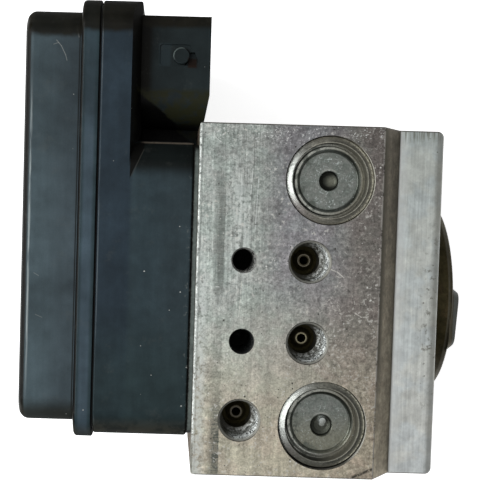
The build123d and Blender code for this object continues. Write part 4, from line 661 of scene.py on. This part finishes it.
def housing_material():
    g, base, tone, mid, grain, drag = plastic_parts("case_plastic", None, 51.0)
    u, v = g.u, g.v
    flange = g.smooth(u, -18.4, -20.2)
    shroud = g.mul(g.smooth(v, 94.9, 95.6), g.smooth(u, -19.5, -18.0))
    # bluish towards the flange, darker against the block; painted shade in the turned corner below the connector and
    # on the shroud beside the flange
    col = g.mix(flange, g.mix(g.smooth(u, -16.0, -4.0), (0.0235, 0.0370, 0.0440), (0.0270, 0.0400, 0.0465)), (0.0180, 0.0285, 0.0385))
    col = g.mix(g.mul(g.smooth(v, 52.0, 22.0), 0.7), col, (0.0205, 0.0350, 0.0370))
    # painted shade in the turned corner under the connector step
    corner = g.mul(g.smooth(v, 83.6, 88.2), g.mul(g.smooth(v, 95.4, 94.8), g.smooth(u, -18.8, -17.6)))
    col = g.mix(corner, col, (0.0042, 0.0062, 0.0060))
    col = g.mix(shroud, col, (0.0130, 0.0187, 0.0200))
    # painted shade on the shroud where it turns towards the flange
    col = g.mix(g.mul(shroud, g.smooth(u, -13.4, -15.6)), col, (0.0040, 0.0040, 0.0028))
    col = g.shade(col, tone)
    # shaded outline of the shallow square pocket
    pocket = g.mul(g.band(u, -12.4, -3.0, 0.3), g.band(v, 117.2, 123.8, 0.3))
    col = g.mix(g.mul(g.mul(pocket, shroud), g.smooth(u, -8.4, -9.6)), col, (0.0185, 0.0275, 0.0310))
    # painted shadow, dark brown, in the pocket right of the nub
    rust_and_shadow = g.mul(g.band(u, -3.9, -1.3, 0.35), g.band(v, 116.9, 119.8, 0.35))
    col = g.mix(g.mul(g.mul(rust_and_shadow, shroud), 0.9), col, (0.0120, 0.0050, 0.0022))
    # olive smear low on the shroud; painted shadow, black, towards the corner under it
    smear = g.mul(shroud, g.mul(g.smooth(v, 111.4, 109.4), g.smooth(v, 96.0, 100.0)))
    line_v = g.math("MULTIPLY_ADD", u, -0.754, 95.8)
    shroud_under_shadow = g.mul(shroud, g.smooth(g.add(g.sub(v, line_v), g.mul(g.sub(mid, 0.5), 2.0)), 0.5, -0.5))
    # pale broken line on the seam edge; a painted highlight on the step of the coil box
    line = g.mul(g.mul(near(g, u, -28.25, 0.22), g.smooth(drag, 0.40, 0.60)), g.smooth(g.nz, 0.5, 0.8))
    col = g.mix(g.mul(line, 0.55), col, (0.12, 0.14, 0.145))
    top = g.fmix(shroud, 125.5, 128.6)
    col, rough, normal = plastic_finish(g, col, mid, grain, 51.0, 0.42, top, 13.2)
    col = g.mix(g.mul(g.mul(smear, 0.9), g.smooth(mid, 0.36, 0.56)), col, (0.0165, 0.0170, 0.0065))
    col = g.mix(shroud_under_shadow, col, (0.0008, 0.0008, 0.0006))
    # painted highlight along the top edge of the coil box step
    step = g.mul(g.mul(near(g, v, 94.6, 0.50), g.smooth(u, -17.4, -15.6)), g.smooth(g.z, 76.0, 78.0))
    col = g.mix(g.mul(step, g.gain(drag, 0.8, 0.8)), col, (0.200, 0.165, 0.130))
    # mitred corner beside the flange: painted shadow, black, above a thin lighter line
    mitre = g.math("MULTIPLY_ADD", u, -2.33, g.sub(v, 129.6))
    notch = g.mul(g.mul(g.smooth(mitre, -0.3, 0.5), g.smooth(u, -15.4, -16.2)), g.band(v, 84.0, 94.4, 0.3))
    notch = g.mul(notch, g.smooth(u, -19.9, -19.5))
    col = g.mix(notch, col, (0.0020, 0.0020, 0.0016))
    fold = g.mul(near(g, mitre, -0.4, 0.55), g.mul(g.band(v, 84.5, 94.0, 0.4), g.smooth(u, -15.6, -16.0)))
    col = g.mix(g.mul(fold, 0.7), col, (0.034, 0.032, 0.027))
    # nub beside the pocket: a painted highlight on its left edge
    rn = g.ring(-5.85, 120.3)
    nub = g.mul(near(g, rn, 2.25, 0.30), g.smooth(g.z, 78.6, 78.8))
    col = g.mix(g.mul(nub, g.smooth(g.sub(g.u, g.v), -126.4, -128.5)), col, (0.10, 0.125, 0.12))
    # specks of grit close to the block
    for a, r in (((-14.8, 57.4), 0.22), ((-4.3, 51.7), 0.20), ((-7.3, 46.4), 0.15), ((-1.9, 30.0), 0.2), ((-12.0, 27.5), 0.14), ((-5.0, 70.5), 0.16), ((-3.1, 18.8), 0.22)):
        col = g.mix(g.spot(a[0], a[1], r * 1.4, r * 1.1, 0.6), col, (0.42, 0.43, 0.41))
    haze = g.mul(near(g, u, -2.2, 1.5), g.smooth(g.noise(0.7, 4, 0.7, seed=59.0), 0.56, 0.66))
    col = g.mix(g.mul(haze, g.mul(g.smooth(v, 88.0, 80.0), 0.5)), col, (0.15, 0.16, 0.15))
    return g.finish(col, rough, normal=normal, specular=0.07)


def motor_material():
    g = Graph("motor_steel")
    mid = g.noise(0.3, 4, 0.65, seed=61.0)
    fine = g.noise(1.5, 3, 0.6, seed=62.0)
    rust_and_shadow = g.smooth(g.noise(0.2, 5, 0.7, seed=63.0), 0.52, 0.72)
    boss = g.smooth(g.u, 78.1, 78.5)
    # painted highlight: a lighter stripe along the rim of the drum
    rimline = g.mul(g.band(g.u, 76.2, 76.9, 0.2), g.smooth(g.z, 50.0, 58.0))
    col = g.mix(g.smooth(mid, 0.35, 0.7), (0.034, 0.0275, 0.0095), (0.060, 0.0490, 0.0200))
    col = g.mix(g.mul(rust_and_shadow, 0.55), col, (0.082, 0.056, 0.028))
    col = g.mix(rimline, col, (0.105, 0.095, 0.068))
    col = g.mix(boss, col, (0.075, 0.080, 0.070))
    col = g.shade(col, g.tones(g.gain(fine, 0.8), g.gain(mid, 0.5)))
    rough = g.gain(mid, 0.2, 0.50)
    normal = g.bump(g.add(mid, g.mul(fine, 0.5)), distance=0.0001, strength=0.6)
    return g.finish(col, rough, metallic=0.45, normal=normal, specular=0.2)


def brass_material():
    g = Graph("brass")
    mid = g.noise(0.9, 3, 0.6, seed=71.0)
    turn = g.noise(1.0, 3, 0.6, vec=g.stretched(0.2, 0.2, 5.0, 7.0), seed=72.0)
    # tarnished dark, only the turned tip rubbed bright
    col = g.mix(mid, (0.045, 0.038, 0.016), (0.085, 0.073, 0.032))
    tip = g.smooth(g.z, 77.0, 77.6)
    col = g.mix(tip, col, (0.075, 0.064, 0.038))
    for (hu, hv), at, half, tone in zip(PORT_SPOTS, (1.76, 1.46, 1.46), (0.20, 0.30, 0.34), ((0.24, 0.215, 0.165), (0.44, 0.40, 0.26), (0.10, 0.09, 0.072))):
        col = g.mix(g.mul(tip, near(g, g.ring(hu, hv), at, half)), col, tone)
    # painted glint on the right-facing side of a step in the brass seat
    lip = g.mul(g.band(g.z, 75.2, 75.7, 0.12), g.smooth(g.nx, -0.1, 0.5))
    col = g.mix(g.mul(lip, 0.6), col, (0.16, 0.135, 0.06))
    rough = g.gain(mid, 0.2, 0.40)
    normal = g.bump(turn, distance=0.00005, strength=0.6)
    return g.finish(col, rough, metallic=0.5, normal=normal, specular=0.2)


def plain_metal(name, dark, light, seed, rough0=0.3, scale=0.6, along=None):
    g = Graph(name)
    mid = g.noise(scale, 5, 0.6, seed=seed)
    vec = g.stretched(*(along or (0.2, 1.6, 1.6)), seed)
    lines = g.noise(1.0, 3, 0.6, vec=vec, seed=seed + 1)
    col = g.mix(g.add(g.mul(mid, 0.6), g.mul(lines, 0.4)), dark, light)
    specks = g.dots(0.7, 0.15, 0.25, seed=seed + 2)
    col = g.mix(g.mul(specks, 0.5), col, tuple(x * 0.4 for x in dark))
    rough = g.math("MULTIPLY_ADD", mid, 0.25, rough0)
    normal = g.bump(g.add(g.mul(mid, 0.5), lines), distance=0.00005, strength=0.6)
    return g.finish(col, rough, metallic=1.0, normal=normal)


def plain_solid(name, dark, light, seed, rough0=0.5, scale=0.5, specular=0.4):
    g = Graph(name)
    mid = g.noise(scale, 5, 0.6, seed=seed)
    fine = g.noise(scale * 5.0, 3, 0.6, seed=seed + 1)
    col = g.mix(mid, dark, light)
    col = g.shade(col, g.math("MULTIPLY_ADD", fine, 0.3, 0.85))
    dust = g.smooth(g.noise(0.2, 6, 0.7, seed=seed + 2), 0.58, 0.8)
    col = g.mix(g.mul(dust, 0.2), col, (0.2, 0.19, 0.16))
    rough = g.math("MULTIPLY_ADD", mid, 0.25, rough0)
    normal = g.bump(g.add(mid, g.mul(fine, 0.5)), distance=0.00006, strength=0.5)
    return g.finish(col, rough, normal=normal, specular=specular)


def gasket_material():
    g = Graph("gasket_rubber")
    mid = g.noise(0.3, 4, 0.65, seed=113.0)
    fine = g.noise(1.4, 3, 0.6, seed=114.0)
    # black, its front edge greyed with dust along the block
    lip = g.mul(g.smooth(g.nz, 0.5, 0.8), g.smooth(g.add(g.u, g.mul(g.sub(fine, 0.5), 0.5)), -1.30, -0.95))
    col = g.mix(g.smooth(mid, 0.35, 0.65), (0.004, 0.0045, 0.004), (0.011, 0.012, 0.010))
    col = g.mix(g.mul(lip, g.smooth(g.u, 0.05, -0.25)), col, g.shade((0.120, 0.140, 0.130), g.tones(g.gain(mid, 1.2), g.gain(fine, 0.8))))
    rough = g.gain(mid, 0.2, 0.7)
    normal = g.bump(g.add(mid, g.mul(fine, 0.5)), distance=0.00006, strength=0.5)
    return g.finish(col, rough, normal=normal, specular=0.2)


MATERIALS = {
    "block_aluminium": block_material(),
    "brass": brass_material(),
    "zinc_cap": cap_material(),
    "ring_alloy": ring_material(),
    "case_plastic": housing_material(),
    "cover_plastic": cover_material(),
    "motor_steel": motor_material(),
    "zinc_steel": plain_metal("zinc_steel", (0.30, 0.30, 0.27), (0.52, 0.52, 0.48), 81.0),
    "piston_aluminium": plain_metal("piston_aluminium", (0.30, 0.28, 0.20), (0.48, 0.45, 0.36), 84.0),
    "spring_steel": plain_metal("spring_steel", (0.22, 0.22, 0.21), (0.40, 0.40, 0.38), 87.0),
    "hard_steel": plain_metal("hard_steel", (0.40, 0.40, 0.40), (0.62, 0.62, 0.61), 90.0, rough0=0.2),
    "copper": plain_metal("copper", (0.45, 0.20, 0.10), (0.72, 0.38, 0.22), 93.0, along=(2.5, 0.3, 0.3)),
    "bronze": plain_metal("bronze", (0.38, 0.26, 0.12), (0.58, 0.42, 0.22), 96.0, rough0=0.4),
    "core_steel": plain_metal("core_steel", (0.26, 0.26, 0.26), (0.42, 0.42, 0.42), 99.0, along=(2.8, 0.2, 0.2)),
    "capacitor_can": plain_metal("capacitor_can", (0.45, 0.45, 0.46), (0.68, 0.68, 0.69), 102.0),
    "pin_tin": plain_metal("pin_tin", (0.52, 0.50, 0.44), (0.74, 0.73, 0.68), 105.0, rough0=0.22),
    "seal_rubber": plain_solid("seal_rubber", (0.012, 0.012, 0.012), (0.028, 0.028, 0.027), 110.0, rough0=0.55),
    "gasket_rubber": gasket_material(),
    "bobbin_plastic": plain_solid("bobbin_plastic", (0.03, 0.03, 0.03), (0.06, 0.06, 0.06), 116.0),
    "carbon": plain_solid("carbon", (0.02, 0.02, 0.02), (0.06, 0.06, 0.06), 119.0, rough0=0.4),
    "magnet_ferrite": plain_solid("magnet_ferrite", (0.05, 0.05, 0.052), (0.10, 0.10, 0.10), 122.0, rough0=0.45),
    "board_laminate": plain_solid("board_laminate", (0.012, 0.09, 0.035), (0.03, 0.17, 0.07), 125.0, rough0=0.3),
    "chip_resin": plain_solid("chip_resin", (0.015, 0.015, 0.015), (0.04, 0.04, 0.04), 128.0, rough0=0.4),
}

slots = {s["node"]: s["material_slot"] for s in frame["record"]["subparts"]}
for name, obj in nodes.items():
    key = slots[name]
    if name.endswith("accumulator_cap"):
        key = "zinc_cap"
    obj.data.materials.clear()
    obj.data.materials.append(MATERIALS[key])


# ------------------------------------------------------------------ springs
# each spring: a copy of its mesh hung on the module body, the CAD spring hidden; the stroke joint, axis index and
# fixed end are listed, but nothing moves or shortens the spring
SPRINGS = (
    ("upper_accumulator_spring", "upper_accumulator_stroke", 2, 0.0844),
    ("lower_accumulator_spring", "lower_accumulator_stroke", 2, 0.0844),
    ("upper_pump_spring", "upper_pump_stroke", 1, 0.0208),
    ("lower_pump_spring", "lower_pump_stroke", 1, -0.0564),
)
for node, joint, k, fixed in SPRINGS:
    cad_spring = nodes[node]
    axis, anchor = [0.0] * 3, [0.0] * 3
    axis[k], anchor[k] = 1.0, fixed
    spring = bpy.data.objects.new(node + "_wire", cad_spring.data.copy())
    bpy.context.scene.collection.objects.link(spring)
    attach(spring, "module")
    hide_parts(node)
    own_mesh(spring)


# ------------------------------------------------------------------ added pieces
def mesh_piece(name, verts, faces, material, body="module", smooth=False):
    me = bpy.data.meshes.new(name)
    me.from_pydata([tuple(v) for v in verts], [], faces)
    me.validate()
    me.update()
    if smooth:
        for p in me.polygons:
            p.use_smooth = True
    ob = bpy.data.objects.new(name, me)
    bpy.context.scene.collection.objects.link(ob)
    ob.data.materials.append(material)
    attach(ob, body)
    return ob


def thread(name, u, v, wall, top, bottom, pitch, height, material, segs=56):
    """Screw thread ridge on a bore's wall, right-handed, run out at both ends."""
    verts, faces = [], []
    turns = (top - bottom) / pitch
    steps = int(turns * segs)
    for k in range(steps + 1):
        a = 2 * math.pi * k / segs
        z = bottom + pitch * k / segs
        fade = min(1.0, k / (segs * 0.6), (steps - k) / (segs * 0.6))
        h = height * max(fade, 0.02)
        wide, crest = pitch * 0.42, pitch * 0.07
        for r, dz in ((wall + 0.03, -wide), (wall - h, -crest), (wall - h, crest), (wall + 0.03, wide)):
            verts.append(mm(u + r * math.cos(a), v + r * math.sin(a), z + dz))
    for k in range(steps):
        i, j = 4 * k, 4 * (k + 1)
        for c in range(4):
            d = (c + 1) % 4
            faces.append((i + c, j + c, j + d, i + d))
    faces.append((0, 1, 2, 3))
    e = 4 * steps
    faces.append((e + 3, e + 2, e + 1, e))
    return mesh_piece(name, verts, faces, MATERIALS[material])




def thread_material(name, light, dark, bottom, seed, metallic):
    g = Graph(name)
    blot = g.noise(1.1, 4, 0.7, seed=seed, distort=1.0)
    grit = g.noise(2.6, 3, 0.6, seed=seed + 1)
    # painted glints: mottled bright and dark on the thread
    col = g.mix(g.smooth(g.add(g.mul(blot, 0.7), g.mul(grit, 0.3)), 0.465, 0.525), tuple(x * 0.07 for x in light), light)
    # painted shade: darker with depth
    col = g.mix(g.smooth(g.z, 88.8, bottom), col, dark)
    # painted shade on the far side of each line port
    for i, (hu, hv) in enumerate(PORT_SPOTS):
        lit = g.smooth(g.math("MULTIPLY_ADD", g.sub(g.u, hu), 0.80, g.mul(g.sub(g.v, hv), -0.55 if i else -0.05)), -0.8, 2.6)
        shy = g.mul(g.smooth(g.ring(hu, hv), 7.0, 6.5), g.inv(lit))
        col = g.mix(shy, col, (0.055, 0.052, 0.040))
    # painted shade: the lower bracket tap hole almost black
    hu, hv = TAP_SPOTS[1]
    col = g.mix(g.smooth(g.ring(hu, hv), 5.0, 4.5), col, (0.008, 0.009, 0.009))
    rough = g.gain(blot, 0.2, 0.36)
    normal = g.bump(g.add(blot, g.mul(grit, 0.6)), distance=0.0002, strength=0.9)
    return g.finish(col, rough, metallic=metallic, normal=normal)


MATERIALS["thread_aluminium"] = thread_material("thread_aluminium", (0.80, 0.83, 0.81), (0.24, 0.24, 0.20), 77.0, 131.0, 0.45)
MATERIALS["tap_aluminium"] = thread_material("tap_aluminium", (0.30, 0.30, 0.28), (0.004, 0.004, 0.004), 76.0, 134.0, 0.10)
for i, (u, v) in enumerate(PORT_SPOTS, 1):
    thread("line_port_thread_%d" % i, u, v, 5.46, 88.7, 81.0, 1.0, 0.30, "thread_aluminium")
for i, (u, v) in enumerate(TAP_SPOTS, 1):
    thread("bracket_thread_%d" % i, u, v, 3.4, 89.2, 75.0, 1.25, 0.26, "tap_aluminium", segs=40)


# ------------------------------------------------------------------ stage, light, camera
def stage_material():
    g = Graph("floor_white")
    mid = g.noise(0.01, 3, 0.5, seed=200.0)
    b = g.nt.nodes.new("ShaderNodeBsdfPrincipled")
    g.put(g.shade((0.93, 0.93, 0.93), g.math("MULTIPLY_ADD", mid, 0.02, 0.99)), b.inputs["Base Color"])
    b.inputs["Roughness"].default_value = 0.9
    b.inputs["Specular IOR Level"].default_value = 0.1
    b.inputs["Emission Color"].default_value = (1, 1, 1, 1)
    b.inputs["Emission Strength"].default_value = 0.80
    g.link(b.outputs[0], g.out.inputs["Surface"])
    return g.mat


me = bpy.data.meshes.new("floor")
me.from_pydata([(-3, -3, 0), (3, -3, 0), (3, 3, 0), (-3, 3, 0)], [], [(0, 1, 2, 3)])
floor = bpy.data.objects.new("floor", me)
floor.location.z = -0.0002
bpy.context.scene.collection.objects.link(floor)
floor.data.materials.append(stage_material())

world = bpy.data.worlds.new("studio")
bpy.context.scene.world = world
world.use_nodes = True
world.node_tree.nodes["Background"].inputs[0].default_value = (0.97, 0.985, 1.0, 1)
world.node_tree.nodes["Background"].inputs[1].default_value = 0.15


def area(name, loc, target, size, size_y, power, colour=(1, 1, 1)):
    data = bpy.data.lights.new(name, "AREA")
    data.shape = "RECTANGLE"
    data.size, data.size_y = size, size_y
    data.energy = power
    data.color = colour
    ob = bpy.data.objects.new(name, data)
    bpy.context.scene.collection.objects.link(ob)
    ob.location = loc
    ob.rotation_euler = (Vector(target) - Vector(loc)).to_track_quat("-Z", "Y").to_euler()
    return ob


area("key", (-0.54, 0.03, 0.50), (0, 0, 0.05), 0.5, 0.8, 5.8, (0.98, 1.0, 1.0))
area("top", (-0.10, 0.00, 0.95), (0, 0, 0.05), 0.9, 0.9, 2.2)

cam_data = bpy.data.cameras.new("camera")
cam = bpy.data.objects.new("camera", cam_data)
bpy.context.scene.collection.objects.link(cam)
cam_data.sensor_width = 36.0
cam_data.lens = 899.63 * 36.0 / 480.0
cam_data.shift_x = (240.0 - 167.99) / 480.0
cam_data.shift_y = (260.48 - 240.0) / 480.0
cam_data.clip_start, cam_data.clip_end = 0.01, 20.0
r = Vector((0.03895, -0.002492, -0.028596))
to_cam = Matrix.Rotation(r.length, 3, r.normalized())
cam.matrix_world = Matrix.Translation((-0.02233, 0.002908, 0.34353)) @ to_cam.transposed().to_4x4()
bpy.context.scene.camera = cam

scene = bpy.context.scene
scene.view_settings.view_transform = "Standard"
scene.view_settings.look = "None"
scene.view_settings.exposure = 0.0
scene.view_settings.gamma = 1.0
